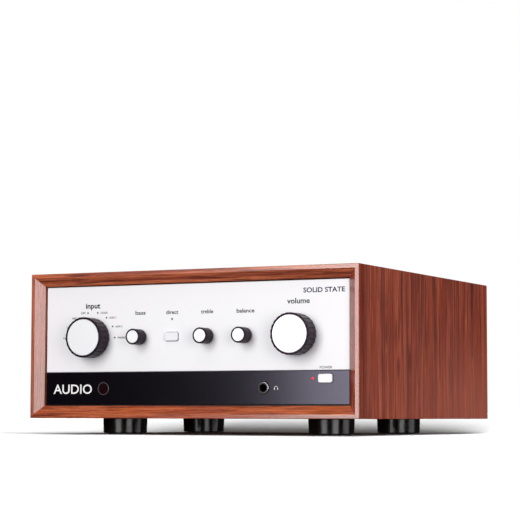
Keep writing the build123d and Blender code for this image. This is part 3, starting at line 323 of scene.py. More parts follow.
# ---------------------------------------------------------------- wood
# Each board's tones: the ground colour, the dark figure and the warm figure.
TOP_TONES = ((0.420, 0.086, 0.038), (0.130, 0.022, 0.014), (0.700, 0.190, 0.080))
BOTTOM_TONES = ((0.360, 0.062, 0.018), (0.100, 0.015, 0.008), (0.600, 0.145, 0.045))
# The left board's tones are lighter and pinker than the others: a painted highlight for the light that its
# front bevel catches.
LEFT_TONES_PAINTED_LIGHTER = ((0.430, 0.105, 0.058), (0.160, 0.030, 0.020), (0.640, 0.200, 0.110))
RIGHT_TONES = ((0.300, 0.040, 0.014), (0.090, 0.010, 0.007), (0.600, 0.130, 0.060))
RIGHT_PAINTED_SHEEN = (0.600, 0.165, 0.110)       # the right board's low back corner is paler: a painted sheen
GRAIN_STRETCH = 0.035                           # how much slower the figure changes along the grain
# The boards are polished at the front bevel and satin behind it.
BEVEL_COAT, FLAT_COAT, WOOD_COAT_ROUGHNESS = 1.0, 0.0, 0.18
POLISH_START, POLISH_END = 9.0, 14.0            # how far behind the rim the polish fades, in millimetres
WOOD_ROUGHNESS, WOOD_SPECULAR = 0.26, 0.45
SATIN_ROUGHNESS = 0.30                          # how much rougher the satin wood is than the polished wood
# Layers of the figure: size across the grain in millimetres, detail, roughness, and the values of the noise
# between which the layer fades in.
BANDS = (17.0, 3.0, 0.55, 0.42, 0.60)
STREAKS = (4.0, 4.0, 0.62, 0.42, 0.60)
DARK_LINES = (2.6, 2.0, 0.50, 0.575, 0.635)
PORES = (1.0, 2.0, 0.50, 0.60, 0.72)
BAND_STRENGTH, STREAK_STRENGTH, DARK_LINE_STRENGTH, BRIGHT_LINE_STRENGTH = 0.55, 0.55, 0.70, 0.70
PORE_STRENGTH, FLECK_STRENGTH = 0.50, 0.60
BRIGHT_LINE_SIZE, BRIGHT_LINE_HALF_WIDTH = 9.0, 0.012
FIBRE_SIZE, FIBRE_DETAIL, FIBRE_ROUGHNESS = 0.95, 3.0, 0.7
FIBRE_SHADES = (0.28, 0.72, 0.64, 1.30)         # fibre noise from and to, shade from and to
FIBRE_GLOSS = (0.25, 0.75, 0.22, 0.32)          # fibre noise from and to, roughness from and to
PORE_STRETCH, FLECK_STRETCH = (1.5, 0.09), (1.0, 0.12)
FLECK_SPACING, FLECK_EDGE = 24.0, (0.03, 0.075)
WANDER_STRETCH, WANDER_SIZE, WANDER_REACH = 0.35, 26.0, 30.0      # the slow noise that bends the figure
# The relief: how much of it the fibres make beside the pores, its height in millimetres, and its strength.
FIBRE_RELIEF, WOOD_RELIEF, RELIEF_STRENGTH = 0.45, 0.03, 0.6


class Walnut(Surface):
    """Lacquered walnut with its grain along one axis."""

    def __init__(self, name, along, shift, tones, figure_width=1.0, contrast=1.0):
        super().__init__(name, tones[0], roughness=WOOD_ROUGHNESS, specular=WOOD_SPECULAR, coat=BEVEL_COAT,
                         coat_roughness=WOOD_COAT_ROUGHNESS)
        self.along, self.shift, self.tones = along, shift, tones
        grain = self.place(self.stretched(1.0), shift)
        fibres = self.noise(grain, FIBRE_SIZE, FIBRE_DETAIL, FIBRE_ROUGHNESS)
        pores = self.layer(self.place(self.stretched(*PORE_STRETCH), shift), *PORES)
        self.color = self.figure(grain, figure_width, contrast)
        shade = self.grey(self.span(fibres, *FIBRE_SHADES))
        self.color = self.mix(1.0, self.color, shade, "MULTIPLY")
        self.lay(pores, PORE_STRENGTH, tones[1])
        flecks = self.cells(self.place(self.stretched(*FLECK_STRETCH), shift), FLECK_SPACING)
        self.lay(self.span(flecks, *FLECK_EDGE, 1.0, 0.0), FLECK_STRENGTH, tones[1])
        self.finish(fibres)
        height = self.math("SUBTRACT", self.math("MULTIPLY", fibres, FIBRE_RELIEF), pores)
        self.bump(height, WOOD_RELIEF * MM, RELIEF_STRENGTH)

    def figure(self, grain, width, contrast):
        """The colour of the bands, streaks, dark lines and bright lines."""
        color, dark, warm = self.tones
        wandered = self.wandering(grain)
        for layer, tone, strength in (
            (BANDS, dark, BAND_STRENGTH),
            (STREAKS, warm, STREAK_STRENGTH),
            (DARK_LINES, dark, DARK_LINE_STRENGTH),
        ):
            amount = self.math("MULTIPLY", self.layer(wandered, *layer, width), strength * contrast)
            color = self.mix(amount, color, tone)
        ridge = self.noise(wandered, BRIGHT_LINE_SIZE * width, detail=1.0)
        ridge = self.math("ABSOLUTE", self.math("SUBTRACT", ridge, 0.5))
        bright_lines = self.span(ridge, 0.0, BRIGHT_LINE_HALF_WIDTH, 1.0, 0.0)
        return self.mix(self.math("MULTIPLY", bright_lines, BRIGHT_LINE_STRENGTH), color, warm)

    def layer(self, vector, size, detail, roughness, low, high, width=1.0):
        """Where one layer of the figure shows."""
        return self.span(self.noise(vector, size * width, detail, roughness), low, high)

    def finish(self, fibres):
        """Polished near the front rim and satin behind it."""
        depth = self.node("ShaderNodeSeparateXYZ", Vector=self.place()).outputs["Y"]
        front = RIM_Y * TO_MM
        satin = self.span(depth, front + POLISH_START, front + POLISH_END)
        self.feed("Coat Weight", self.span(satin, 0.0, 1.0, BEVEL_COAT, FLAT_COAT))
        gloss = self.span(fibres, *FIBRE_GLOSS)
        self.feed("Roughness", self.math("ADD", gloss, self.math("MULTIPLY", satin, SATIN_ROUGHNESS)))

    def stretched(self, across, along=GRAIN_STRETCH):
        """A scale along the three axes that draws the figure out along the grain."""
        return [across * (along if axis == self.along else 1.0) for axis in "XYZ"]

    def wandering(self, grain):
        """The grain's coordinates pushed sideways by slow noise, so that the figure isn't straight."""
        slow = self.place(self.stretched(WANDER_STRETCH), self.shift)
        wander = self.noise(slow, WANDER_SIZE, detail=2.0)
        push = self.tree.nodes.new("ShaderNodeCombineXYZ")
        for axis in "XYZ":
            if axis != self.along:
                self.tree.links.new(wander, push.inputs[axis])
        drift = self.tree.nodes.new("ShaderNodeVectorMath")
        drift.operation = "MULTIPLY_ADD"
        self.tree.links.new(push.outputs[0], drift.inputs[0])
        drift.inputs[1].default_value = (WANDER_REACH, WANDER_REACH, WANDER_REACH)
        self.tree.links.new(grain, drift.inputs[2])
        return drift.outputs[0]

    def grey(self, value):
        made = self.tree.nodes.new("ShaderNodeCombineColor")
        for part in ("Red", "Green", "Blue"):
            self.tree.links.new(value, made.inputs[part])
        return made.outputs[0]

    def lay(self, amount, strength, color):
        """Lays a colour over part of the wood."""
        self.color = self.mix(self.math("MULTIPLY", amount, strength), self.color, color)
        self.feed("Base Color", self.color)

    def knot_mark(self, y, z, half_y, half_z, strength):
        """An upright lens-shaped dark mark on a side board."""
        near = self.place((0, 1 / half_y, 1 / half_z), (0, -y / half_y, -z / half_z))
        reach = self.tree.nodes.new("ShaderNodeVectorMath")
        reach.operation = "LENGTH"
        self.tree.links.new(near, reach.inputs[0])
        self.lay(self.span(reach.outputs["Value"], *MARK_EDGE, 1.0, 0.0), strength, self.tones[1])


# Dark marks on the right board: y, z, half width, half height and strength, in millimetres.
RIGHT_BOARD_MARKS = (
    (-79.0, 64.0, 4.5, 13.0, 0.80), (-50.0, 70.0, 5.0, 17.0, 0.85), (-86.0, 92.0, 3.0, 16.0, 0.45),
    (-20.0, 110.0, 3.5, 34.0, 0.55), (-28.0, 40.0, 3.0, 26.0, 0.40), (-118.0, 60.0, 3.0, 40.0, 0.35),
)
MARK_EDGE = (0.35, 1.15)                        # where a mark's edge fades, as a share of its half size
# The right board is darker just behind its bevel. The darkness comes in over the first distances behind the
# rim and goes over the second, in millimetres.
DARK_EDGE_START, DARK_EDGE_END, DARK_EDGE_STRENGTH = (2.0, 6.0), (12.0, 34.0), 0.40
# Painted sheen: the right board's low back corner is lightened, standing in for light that its satin wood
# catches.
# It pales downwards between two heights, and backwards from a distance behind the rim to a place along y.
SHEEN_HEIGHTS, SHEEN_FROM, SHEEN_TO_Y = (20.0, 130.0), 20.0, 170.0
SHEEN_IN_FRONT, SHEEN_STRENGTH = 0.25, 0.50


def dress_sleeve():
    """Each board shows another part of the figure, fainter on the left board and broader on the right one."""
    dress("sleeve_top", Walnut("walnut_top", "X", shift=(3.0, 11.0, 5.0), tones=TOP_TONES))
    dress("sleeve_bottom", Walnut("walnut_bottom", "X", shift=(41.0, 27.0, 9.0), tones=BOTTOM_TONES))
    left = Walnut("walnut_left", "Z", shift=(17.0, 61.0, 2.0), tones=LEFT_TONES_PAINTED_LIGHTER, contrast=0.6)
    dress("sleeve_left", left)
    right = Walnut(
        "walnut_right", "Z", shift=(29.0, 7.0, 1.0), tones=RIGHT_TONES, figure_width=1.5, contrast=0.9,
    )
    for mark in RIGHT_BOARD_MARKS:
        right.knot_mark(*mark)
    where = right.node("ShaderNodeSeparateXYZ", Vector=right.place()).outputs
    front = RIM_Y * TO_MM
    near_front = right.span(where["Y"], *(front + part for part in DARK_EDGE_END), 1.0, 0.0)
    behind_bevel = right.span(where["Y"], *(front + part for part in DARK_EDGE_START))
    right.lay(right.math("MULTIPLY", near_front, behind_bevel), DARK_EDGE_STRENGTH, RIGHT_TONES[1])
    # Painted sheen: the low back corner is lightened, standing in for light on the satin wood.
    low = right.span(where["Z"], *SHEEN_HEIGHTS, 1.0, 0.0)
    back = right.span(where["Y"], front + SHEEN_FROM, SHEEN_TO_Y, SHEEN_IN_FRONT)
    right.lay(right.math("MULTIPLY", low, back), SHEEN_STRENGTH, RIGHT_PAINTED_SHEEN)
    dress("sleeve_right", right)


# ---------------------------------------------------------------- metals, paints and plastics
# The middle part of the noise, over which it changes the roughness.
MID_NOISE = (0.2, 0.8)
# Each finish's own numbers: how much its noise lowers and raises the roughness, how strong its relief is, and
# sizes in millimetres.
SPECKLED_GLOSS, SPECKLED_STRENGTH, SPECKLED_BROAD, SPECKLED_FINE_SHARE = (-0.05, 0.07), 0.6, 40.0, 0.6
SPUN_GLOSS, SPUN_STRENGTH, SPUN_DARK = (-0.06, 0.08), 0.5, 0.95
BRUSHED_GLOSS, BRUSHED_STRENGTH, BRUSHED_DARK = (-0.07, 0.10), 0.5, 0.85
BRUSHED_STRETCH, BRUSHED_LINE, BRUSHED_RELIEF = 0.02, 0.25, 0.01
MOULDED_GLOSS, MOULDED_STRENGTH, MOULDED_RELIEF = (-0.03, 0.05), 0.4, 0.004
MOULDED_FLOW, MOULDED_FINE, MOULDED_NOISE = 9.0, 0.6, (0.25, 0.75)
MOULDED_LIGHT, MOULDED_LIFT, SMOOTHEST = 1.18, 0.002, 0.02


def shaded(color, factor, lift=0.0):
    """A colour made darker or lighter, and no brighter than white."""
    return tuple(min(1.0, part * factor + lift) for part in color)


def speckled(name, color, roughness, grain, relief, variation, **settings):
    """A finish with a fine even grain: blasted metal, powder paint or spark-eroded plastic."""
    made = Surface(name, color, roughness=roughness, **settings)
    fine = made.noise(made.place(), grain, detail=2.0, roughness=0.6)
    broad = made.noise(made.place(), SPECKLED_BROAD, detail=2.0)
    blend = made.math("ADD", made.math("MULTIPLY", fine, SPECKLED_FINE_SHARE),
                      made.math("MULTIPLY", broad, 1.0 - SPECKLED_FINE_SHARE))
    dark, light = shaded(color, 1.0 - variation), shaded(color, 1.0 + variation)
    made.feed("Base Color", made.mix(blend, dark, light))
    made.feed("Roughness", made.span(fine, *MID_NOISE, *(roughness + part for part in SPECKLED_GLOSS)))
    made.bump(fine, relief * MM, SPECKLED_STRENGTH)
    return made


def spun(name, color, roughness, centre, pitch, relief, **settings):
    """Metal turned on a lathe, with fine rings round one axis along Y."""
    made = Surface(name, color, roughness=roughness, **settings)
    ring = made.tree.nodes.new("ShaderNodeCombineXYZ")
    made.tree.links.new(made.radius(centre), ring.inputs[0])
    rings = made.noise(ring.outputs[0], pitch, detail=3.0, roughness=0.7)
    made.feed("Roughness", made.span(rings, *MID_NOISE, *(roughness + part for part in SPUN_GLOSS)))
    made.feed("Base Color", made.mix(rings, shaded(color, SPUN_DARK), color))
    made.bump(rings, relief * MM, SPUN_STRENGTH)
    return made


def brushed(name, color, roughness, along, **settings):
    """Sheet metal brushed along one axis."""
    made = Surface(name, color, roughness=roughness, **settings)
    stretch = [BRUSHED_STRETCH if axis == along else 1.0 for axis in "XYZ"]
    lines = made.noise(made.place(stretch), BRUSHED_LINE, detail=3.0, roughness=0.7)
    made.feed("Base Color", made.mix(lines, shaded(color, BRUSHED_DARK), color))
    made.feed("Roughness", made.span(lines, *MID_NOISE, *(roughness + part for part in BRUSHED_GLOSS)))
    made.bump(lines, BRUSHED_RELIEF * MM, BRUSHED_STRENGTH)
    return made


def moulded(name, color, roughness, **settings):
    """Smooth moulded plastic with faint flow marks and dust-fine unevenness."""
    made = Surface(name, color, roughness=roughness, **settings)
    flow = made.noise(made.place(), MOULDED_FLOW, detail=3.0, roughness=0.6, distortion=0.6)
    fine = made.noise(made.place(), MOULDED_FINE, detail=2.0)
    made.feed("Base Color", made.mix(flow, color, shaded(color, MOULDED_LIGHT, MOULDED_LIFT)))
    smoother, rougher = (max(SMOOTHEST, roughness + part) for part in MOULDED_GLOSS)
    made.feed("Roughness", made.span(flow, *MOULDED_NOISE, smoother, rougher))
    made.bump(fine, MOULDED_RELIEF * MM, MOULDED_STRENGTH)
    return made


KNOBS = ("input", "volume", "bass", "treble", "balance")
# Where the bright ring of the headphone socket and of the sensor window starts, in millimetres from its axis,
# and how far the ring's edge is blurred.
JACK_RING, WINDOW_RING, RING_BLUR = 4.9, 5.35, 0.15
LAMP_SPLIT = (40.0, 60.0)                       # x between the dark direct lamp and the lit power lamp
SHELLS_FROM_X = 109.0                           # the sockets further out than this have steel shells
PLATED_SOCKETS = ((52.0, 68.0), (24.0, 36.0))   # from and to x: the coaxial socket and the aerial's connector
STEEL, GOLD = (0.56, 0.56, 0.57), (0.83, 0.62, 0.26)
PLASTIC_PARTS_INSIDE = (
    "input_selector", "volume_potentiometer", "tone_potentiometers", "tact_switches", "output_transistors",
)


def dress_front():
    silver = speckled(
        "fascia_silver", (0.865, 0.855, 0.88), roughness=0.46, grain=0.22, relief=0.006, variation=0.012,
    )
    dress("fascia_upper", silver)
    dress("fascia_lower", fascia_black())
    body = speckled(
        "knob_lacquer", (0.012, 0.004, 0.010), roughness=0.28, grain=0.3, relief=0.006,
        variation=0.15, specular=0.17,
    )
    body.set("Specular Tint", (0.90, 0.54, 0.86, 1.0))
    for name in KNOBS:
        dress(f"{name}_knob", body)
        centre = middle(f"{name}_knob_cap")
        cap = spun(
            f"{name}_cap_metal", (0.90, 0.90, 0.92), roughness=0.36, centre=centre, pitch=0.16,
            relief=0.003, metallic=0.25,
        )
        dress(f"{name}_knob_cap", cap)
        shaft = brushed(f"{name}_shaft_steel", (0.55, 0.54, 0.53), roughness=0.30, along="Y", metallic=1.0)
        dress(f"{name}_shaft", shaft)
    button = speckled(
        "button_silver", (0.80, 0.80, 0.83), roughness=0.36, grain=0.2, relief=0.004,
        variation=0.02, metallic=0.1,
    )
    dress("direct_button", button)
    dress("power_button", button)
    black, bright = (0.006, 0.005, 0.006), (0.42, 0.40, 0.42)
    jack = ringed(
        "jack_black", black, bright, roughness=0.24, centre=middle("headphone_jack"),
        start=JACK_RING, ring_metallic=0.9,
    )
    dress("headphone_jack", jack)
    lens, edge = (0.010, 0.0010, 0.0018), (0.16, 0.13, 0.15)
    window = ringed(
        "sensor_red", lens, edge, roughness=0.14, centre=middle("ir_window"), start=WINDOW_RING,
        ring_metallic=0.5,
    )
    dress("ir_window", window)
    dress("indicator_leds", lamp_surface())


def ringed(name, inside, ring, roughness, centre, start, ring_metallic):
    """A dark round fitting with a bright ring round it."""
    made = moulded(name, inside, roughness)
    outer = made.span(made.radius(centre), start, start + RING_BLUR)
    made.feed("Base Color", made.mix(outer, inside, ring))
    made.feed("Metallic", made.math("MULTIPLY", outer, ring_metallic))
    return made


def fascia_black():
    """Smooth black lacquer with a cool sheen."""
    black = speckled(
        "fascia_black", (0.0020, 0.0014, 0.0024), roughness=0.15, grain=0.25, relief=0.001, variation=0.15,
    )
    black.set("Specular Tint", (0.83, 0.77, 1.0, 1.0))
    black.set("Specular IOR Level", 0.46)
    return black


def lamp_surface():
    """The red power lamp is lit. The direct lamp, further to the left, is dark."""
    lens = Surface("lamp_lens", (0.55, 0.02, 0.03), roughness=0.2, coat=0.5)
    split = lens.node("ShaderNodeSeparateXYZ", Vector=lens.place())
    lit = lens.span(split.outputs["X"], *LAMP_SPLIT)
    cloudy = lens.noise(lens.place(), size=0.8, detail=2.0)
    glow = lens.mix(cloudy, (0.75, 0.02, 0.04), (0.55, 0.015, 0.03))
    lens.feed("Base Color", lens.mix(lit, (0.03, 0.02, 0.03), glow))
    lens.feed("Emission Color", lens.mix(lit, (0.0, 0.0, 0.0), glow))
    lens.set("Emission Strength", 0.9)
    return lens


def dress_feet():
    gloss = moulded("foot_black", (0.007, 0.004, 0.004), roughness=0.20, specular=0.60)
    for side in ("front_left", "front_right", "rear_left", "rear_right"):
        dress(f"foot_{side}", gloss)
    rubber = speckled("pad_rubber", (0.03, 0.03, 0.03), roughness=0.8, grain=0.5, relief=0.02, variation=0.2)
    dress("foot_pads", rubber)
    zinc = brushed("foot_screw_zinc", (0.42, 0.41, 0.40), roughness=0.35, along="Z", metallic=1.0)
    dress("foot_screws", zinc)


def digital_socket_surface():
    """Black plastic, steel shells and gold plate, told apart by where each connector stands along x."""
    black = (0.014, 0.014, 0.015)
    made = speckled("socket_plastic", black, roughness=0.34, grain=0.3, relief=0.006, variation=0.15)
    across = made.node("ShaderNodeSeparateXYZ", Vector=made.place()).outputs["X"]

    def between(low, high):
        beyond = made.math("GREATER_THAN", across, low)
        return made.math("MULTIPLY", beyond, made.math("LESS_THAN", across, high))

    shells = made.math("GREATER_THAN", across, SHELLS_FROM_X)
    coaxial, aerial = PLATED_SOCKETS
    plated = made.math("ADD", between(*coaxial), between(*aerial))
    color = made.mix(shells, black, STEEL)
    made.feed("Base Color", made.mix(plated, color, GOLD))
    made.feed("Metallic", made.math("ADD", shells, plated))
    return made


def dress_rear():
    powder = speckled(
        "rear_powder", (0.017, 0.017, 0.018), roughness=0.52, grain=0.35, relief=0.02, variation=0.15,
    )
    dress("rear_panel", powder)
    gold = speckled("gold_plate", GOLD, roughness=0.22, grain=0.3, relief=0.002, variation=0.05, metallic=1.0)
    dress("rca_sockets", gold)
    dress("speaker_posts", gold)
    red = moulded("terminal_red", (0.42, 0.012, 0.014), roughness=0.16, coat=0.4)
    black = moulded("terminal_black", (0.012, 0.012, 0.013), roughness=0.18, coat=0.4)
    for side in ("left", "right"):
        dress(f"speaker_cap_{side}_positive", red)
        dress(f"speaker_cap_{side}_negative", black)
    nickel = spun(
        "earth_nickel", (0.66, 0.64, 0.60), roughness=0.28, centre=middle("ground_nut"), pitch=0.3,
        relief=0.003, metallic=1.0,
    )
    dress("ground_nut", nickel)
    inlet = speckled(
        "inlet_plastic", (0.018, 0.018, 0.019), roughness=0.42, grain=0.3, relief=0.01, variation=0.15,
    )
    dress("iec_inlet", inlet)
    dress("digital_sockets", digital_socket_surface())
    dress("mains_rocker", moulded("rocker_black", (0.014, 0.014, 0.015), roughness=0.24))
    aerial = speckled(
        "aerial_soft_touch", (0.016, 0.016, 0.017), roughness=0.55, grain=0.25, relief=0.008, variation=0.12,
    )
    dress("antenna", aerial)
    zinc = brushed("fastener_black_zinc", (0.10, 0.10, 0.105), roughness=0.34, along="Y", metallic=1.0)
    dress("panel_fasteners", zinc)


def dress_inside():
    powder = speckled(
        "chassis_powder", (0.020, 0.020, 0.021), roughness=0.50, grain=0.35, relief=0.015, variation=0.15,
    )
    for node in ("chassis_base", "front_subpanel", "top_cover"):
        dress(node, powder)
    plastic = speckled(
        "control_plastic", (0.03, 0.03, 0.032), roughness=0.45, grain=0.4, relief=0.01, variation=0.15,
    )
    for node in PLASTIC_PARTS_INSIDE:
        dress(node, plastic)
    tape = speckled("winding_tape", (0.42, 0.30, 0.06), roughness=0.35, grain=3.0, relief=0.10, variation=0.3)
    dress("toroidal_transformer", tape)
    zinc = brushed("clamp_zinc", (0.5, 0.5, 0.5), roughness=0.35, along="X", metallic=1.0)
    dress("transformer_clamp", zinc)
    board = speckled(
        "solder_mask", (0.012, 0.085, 0.030), roughness=0.30, grain=1.2, relief=0.02, variation=0.3, coat=0.3,
    )
    for node in ("main_board", "input_board", "front_board"):
        dress(node, board)
    dress("reservoir_capacitors", moulded("can_sleeve", (0.012, 0.012, 0.03), roughness=0.25))
    dress("heatsink", brushed("heatsink_black", (0.03, 0.03, 0.03), roughness=0.42, along="Z", metallic=0.6))


# ---------------------------------------------------------------- printed lettering and marks
PRINT_DEPTH = 0.03 * MM
PRINT_INK, PRINT_NAVY, PRINT_WHITE = (0.002, 0.002, 0.003), (0.012, 0.010, 0.050), (0.80, 0.80, 0.80)
CAP_SHARE = 0.73          # the height of a capital letter over the typeface's size
# Weights of print: how much the strokes are thickened, as a share of the typeface's size.
FINE, MEDIUM, BOLD, HEAVY = 0.010, 0.019, 0.022, 0.026


def letters(text, cap_height, width, place, align="CENTER", weight=FINE, facing_back=False):
    """Plain lettering as a thin closed mesh. Its baseline starts, centres or ends at the place given."""
    data = bpy.data.curves.new("letters", "FONT")
    data.body = text
    data.align_x = align
    data.size = 1.0
    data.resolution_u = 3
    data.extrude = 0.5
    data.offset = weight
    drawn = bpy.data.objects.new("letters", data)
    bpy.context.scene.collection.objects.link(drawn)
    bpy.context.view_layer.update()
    mesh = bpy.data.meshes.new_from_object(drawn.evaluated_get(bpy.context.evaluated_depsgraph_get()))
    bpy.data.objects.remove(drawn)
    wide = max(v.co.x for v in mesh.vertices) - min(v.co.x for v in mesh.vertices)
    size = cap_height / CAP_SHARE
    stretch = Matrix.Diagonal((width / wide if width else size, size, PRINT_DEPTH, 1.0))
    turn = Matrix.Rotation(math.radians(90), 4, "X")
    if facing_back:
        turn = Matrix.Rotation(math.radians(180), 4, "Z") @ turn
    mesh.transform(Matrix.Translation(place) @ turn @ stretch)
    return mesh


def disc(radius, place, sides=20):
    """A thin round dot facing the front."""
    shape = bmesh.new()
    bmesh.ops.create_cone(
        shape, cap_ends=True, segments=sides, radius1=radius, radius2=radius, depth=PRINT_DEPTH,
    )
    mesh = bpy.data.meshes.new("dot")
    shape.to_mesh(mesh)
    shape.free()
    mesh.transform(Matrix.Translation(place) @ Matrix.Rotation(math.radians(90), 4, "X"))
    return mesh


def one_piece(name, meshes, surface, body):
    """Joins meshes into one flat-shaded object that rides on a body."""
    shape = bmesh.new()
    for mesh in meshes:
        shape.from_mesh(mesh)
        bpy.data.meshes.remove(mesh)
    joined = bpy.data.meshes.new(name)
    shape.to_mesh(joined)
    shape.free()
    for face in joined.polygons:
        face.use_smooth = False
    joined.materials.append(surface.material)
    piece = bpy.data.objects.new(name, joined)
    bpy.context.scene.collection.objects.link(piece)
    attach(piece, body)


SELECTOR_RADIUS = 25.0 * MM
SELECTOR_STEP = 180.0 / 7                       # degrees
INPUT_NAMES = ("PHONO", "AUX 2", "AUX 1", "COAX", "OPT", "ARC", "USB", "TAPE")
# The dots' radius, the names' capital height, and how far a name stands below and beside its dot's middle.
INPUT_DOT, INPUT_CAP, INPUT_DROP = 0.85 * MM, 2.0 * MM, 1.0 * MM
INPUT_GAP_RIGHT, INPUT_GAP_LEFT = 3.2 * MM, -2.6 * MM
# Each control's name: its height above the input knob's axis, capital height, width and shift to the right,
# all in millimetres, and its weight.
CONTROL_NAMES = {
    "input_knob": ("input", 28.8, 5.3, 16.4, 0.0, HEAVY),
    "volume_knob": ("volume", 28.6, 5.3, 23.2, 0.8, MEDIUM),
    "bass_knob": ("bass", 21.6, 3.9, 11.2, 0.0, MEDIUM),
    "direct_button": ("direct", 21.5, 3.9, 13.2, 0.0, MEDIUM),
    "treble_knob": ("treble", 21.4, 3.9, 13.1, 0.0, MEDIUM),
    "balance_knob": ("balance", 21.3, 3.9, 18.8, 0.0, MEDIUM),
}
POWER_CAP, POWER_WIDTH, POWER_ABOVE_STRIP = 2.4 * MM, 12.7 * MM, 1.6 * MM
# Words and marks with a place of their own: x and height above the sleeve's underside in millimetres.
TITLE_PLACE, TITLE_CAP, TITLE_WIDTH = (137.2, 116.3), 4.6 * MM, 42.0 * MM
STRIP_WORD_PLACE, STRIP_WORD_CAP, STRIP_WORD_WIDTH = (-132.4, 23.8), 9.4 * MM, 44.0 * MM
HEADPHONES_PLACE = (88.3, 28.3)
HEADBAND_OUTER, HEADBAND_INNER, HEADBAND_STEPS = 1.9 * MM, 1.55 * MM, 14
CUSHION_WIDTH, CUSHION_HEIGHT, CUSHION_X, CUSHION_DROP = 0.8 * MM, 1.5 * MM, 1.65 * MM, 0.6 * MM


def on_front(x, height):
    """A point on the fascia, x and the height above the sleeve's underside in millimetres."""
    return Vector((x * MM, FASCIA_Y, CABINET_LOW_Z + height * MM))


def input_marks():
    """A dot and a name for each position of the input selector, from 3 o'clock round to 9 o'clock."""
    axis = middle("input_knob")
    marks = []
    for position, name in enumerate(INPUT_NAMES):
        angle = math.radians(SELECTOR_STEP * position)
        across, up = SELECTOR_RADIUS * math.cos(angle), SELECTOR_RADIUS * math.sin(angle)
        spot = Vector((axis.x + across, FASCIA_Y, axis.z + up))
        marks.append(disc(INPUT_DOT, spot))
        to_right = across > 0
        gap = INPUT_GAP_RIGHT if to_right else INPUT_GAP_LEFT
        start = spot + Vector((gap, 0, -INPUT_DROP))
        marks.append(letters(name, INPUT_CAP, None, start, "LEFT" if to_right else "RIGHT", BOLD))
    return marks


def add_front_print():
    """Control names on the pale plate, and plain marks on the black strip."""
    ink = moulded("print_ink", PRINT_INK, roughness=0.8, specular=0.1)
    axis_z = middle("input_knob").z
    words = input_marks()
    for node, (word, height, cap, width, shift, weight) in CONTROL_NAMES.items():
        spot = Vector((middle(node).x + shift * MM, FASCIA_Y, axis_z + height * MM))
        words.append(letters(word, cap * MM, width * MM, spot, weight=weight))
    power_place = Vector((middle("power_button").x, FASCIA_Y, STRIP_TOP_Z + POWER_ABOVE_STRIP))
    words.append(letters("POWER", POWER_CAP, POWER_WIDTH, power_place))
    one_piece("fascia_lettering", words, ink, "cabinet")
    navy = moulded("print_navy", PRINT_NAVY, roughness=0.8, specular=0.1)
    title = letters("SOLID STATE", TITLE_CAP, TITLE_WIDTH, on_front(*TITLE_PLACE), weight=BOLD)
    one_piece("fascia_title", [title], navy, "cabinet")
    white = moulded("print_white", PRINT_WHITE, roughness=0.5)
    word = letters("AUDIO", STRIP_WORD_CAP, STRIP_WORD_WIDTH, on_front(*STRIP_WORD_PLACE))
    strip = [word, headphone_symbol(on_front(*HEADPHONES_PLACE))]
    one_piece("strip_marks", strip, white, "cabinet")


def headphone_symbol(centre):
    """A headband arc with an ear cushion at each end."""
    shape = bmesh.new()
    arc = [math.pi * k / HEADBAND_STEPS for k in range(HEADBAND_STEPS + 1)]
    rings = [
        [shape.verts.new((radius * math.cos(a), side, radius * math.sin(a))) for a in arc]
        for side in (-PRINT_DEPTH / 2, PRINT_DEPTH / 2) for radius in (HEADBAND_OUTER, HEADBAND_INNER)
    ]
    for first, second in ((0, 1), (1, 3), (3, 2), (2, 0)):
        for k in range(HEADBAND_STEPS):
            shape.faces.new((rings[first][k], rings[first][k + 1], rings[second][k + 1], rings[second][k]))
    for k in (0, HEADBAND_STEPS):
        shape.faces.new([rings[i][k] for i in (0, 1, 3, 2)])
    for side in (-1, 1):
        cushion = bmesh.ops.create_cube(shape, size=1.0)["verts"]
        bmesh.ops.scale(shape, vec=(CUSHION_WIDTH, PRINT_DEPTH, CUSHION_HEIGHT), verts=cushion)
        bmesh.ops.translate(shape, vec=(side * CUSHION_X, 0, -CUSHION_DROP), verts=cushion)
    bmesh.ops.recalc_face_normals(shape, faces=shape.faces)
    mesh = bpy.data.meshes.new("headphones")
    shape.to_mesh(mesh)
    shape.free()
    mesh.transform(Matrix.Translation(centre))
    return mesh


# ---------------------------------------------------------------- back: names and coloured socket rings
RCA_COLUMNS = (132.0, 112.0, 92.0, 72.0)
RCA_RIGHT_Z, RCA_LEFT_Z = 84.0, 103.0                # above the sleeve's underside
RING_INNER, RING_OUTER = 2.66 * MM, 3.24 * MM        # radii
RING_START, RING_END = 3.5 * MM, 10.3 * MM           # out from the rear panel
RING_WHITE, RING_RED = (0.75, 0.74, 0.72), (0.55, 0.015, 0.015)
BACK_WHITE = (0.72, 0.72, 0.72)
REAR_NAME_CAP, REAR_TITLE_CAP = 2.2 * MM, 2.8 * MM
# Small names and larger titles on the rear panel: x, height above the sleeve's underside, and the word.
REAR_NAMES = (
    (132.0, 114.0, "PHONO"), (112.0, 114.0, "AUX 2"), (92.0, 114.0, "AUX 1"), (72.0, 114.0, "PRE OUT"),
    (150.0, 103.5, "GND"), (61.5, 102.0, "L"), (61.5, 83.0, "R"),
    (140.0, 34.0, "ARC"), (118.0, 34.0, "USB"), (98.0, 34.0, "OPT 1"), (80.0, 34.0, "OPT 2"),
    (60.0, 34.0, "COAX"), (42.0, 34.0, "12 V"), (-84.0, 50.0, "MAINS"),
    (-58.0, 101.0, "+"), (-77.05, 101.0, "-"), (-110.0, 101.0, "+"), (-129.05, 101.0, "-"),
)
REAR_TITLES = (
    (102.0, 121.5, "ANALOGUE"), (96.0, 53.5, "DIGITAL"), (-93.5, 114.5, "SPEAKERS"),
    (-67.5, 108.0, "RIGHT"), (-119.5, 108.0, "LEFT"), (-126.0, 53.0, "AC IN"),
)


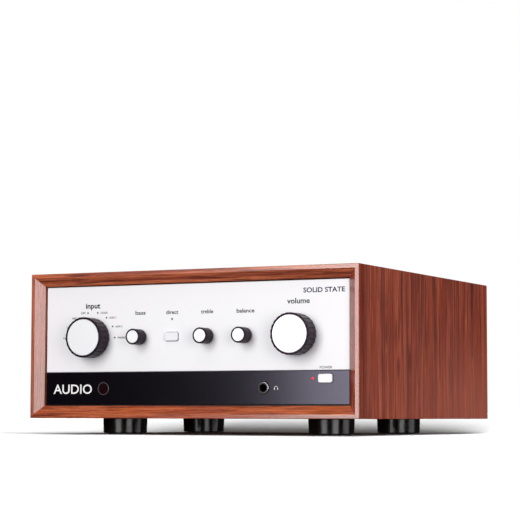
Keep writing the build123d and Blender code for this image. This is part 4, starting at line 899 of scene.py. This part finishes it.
def on_back(x, height):
    """A point on the rear panel, x and the height above the sleeve's underside in millimetres."""
    return Vector((x * MM, REAR_Y + PRINT_DEPTH / 2, CABINET_LOW_Z + height * MM))


def socket_ring(place, sides=40):
    """The tube of coloured plastic between a phono socket's shell and its middle."""
    outline = (
        (RING_INNER, RING_START), (RING_OUTER, RING_START), (RING_OUTER, RING_END), (RING_INNER, RING_END),
    )
    shape = bmesh.new()
    rings = []
    for k in range(sides):
        angle = 2 * math.pi * k / sides
        across, up = math.cos(angle), math.sin(angle)
        rings.append([shape.verts.new((radius * across, depth, radius * up)) for radius, depth in outline])
    for k, ring in enumerate(rings):
        following = rings[(k + 1) % sides]
        for i in range(len(outline)):
            j = (i + 1) % len(outline)
            shape.faces.new((ring[i], ring[j], following[j], following[i]))
    bmesh.ops.recalc_face_normals(shape, faces=shape.faces)
    mesh = bpy.data.meshes.new("socket_ring")
    shape.to_mesh(mesh)
    shape.free()
    mesh.transform(Matrix.Translation(place))
    return mesh


def add_socket_rings():
    """White rings in the upper row of phono sockets and red rings in the lower one."""
    for name, height, color, slot in (
        ("rca_rings_left", RCA_LEFT_Z, RING_WHITE, "button_white"),
        ("rca_rings_right", RCA_RIGHT_Z, RING_RED, "terminal_red"),
    ):
        rings = [socket_ring(on_back(x, height)) for x in RCA_COLUMNS]
        one_piece(name, rings, moulded(name, color, roughness=0.3), "cabinet")


def add_back_print():
    """Names of the connectors, right way round for someone looking at the back."""
    words = [
        letters(word, cap, None, on_back(x, height), facing_back=True)
        for cap, names in ((REAR_NAME_CAP, REAR_NAMES), (REAR_TITLE_CAP, REAR_TITLES))
        for x, height, word in names
    ]
    white = moulded("back_print_white", BACK_WHITE, roughness=0.6)
    one_piece("back_lettering", words, white, "cabinet")


# ---------------------------------------------------------------- everything
bpy.context.scene.view_settings.view_transform = "Standard"
add_camera()
add_studio()
dress_sleeve()
dress_front()
dress_feet()
dress_rear()
dress_inside()
add_front_print()
add_back_print()
add_socket_rings()
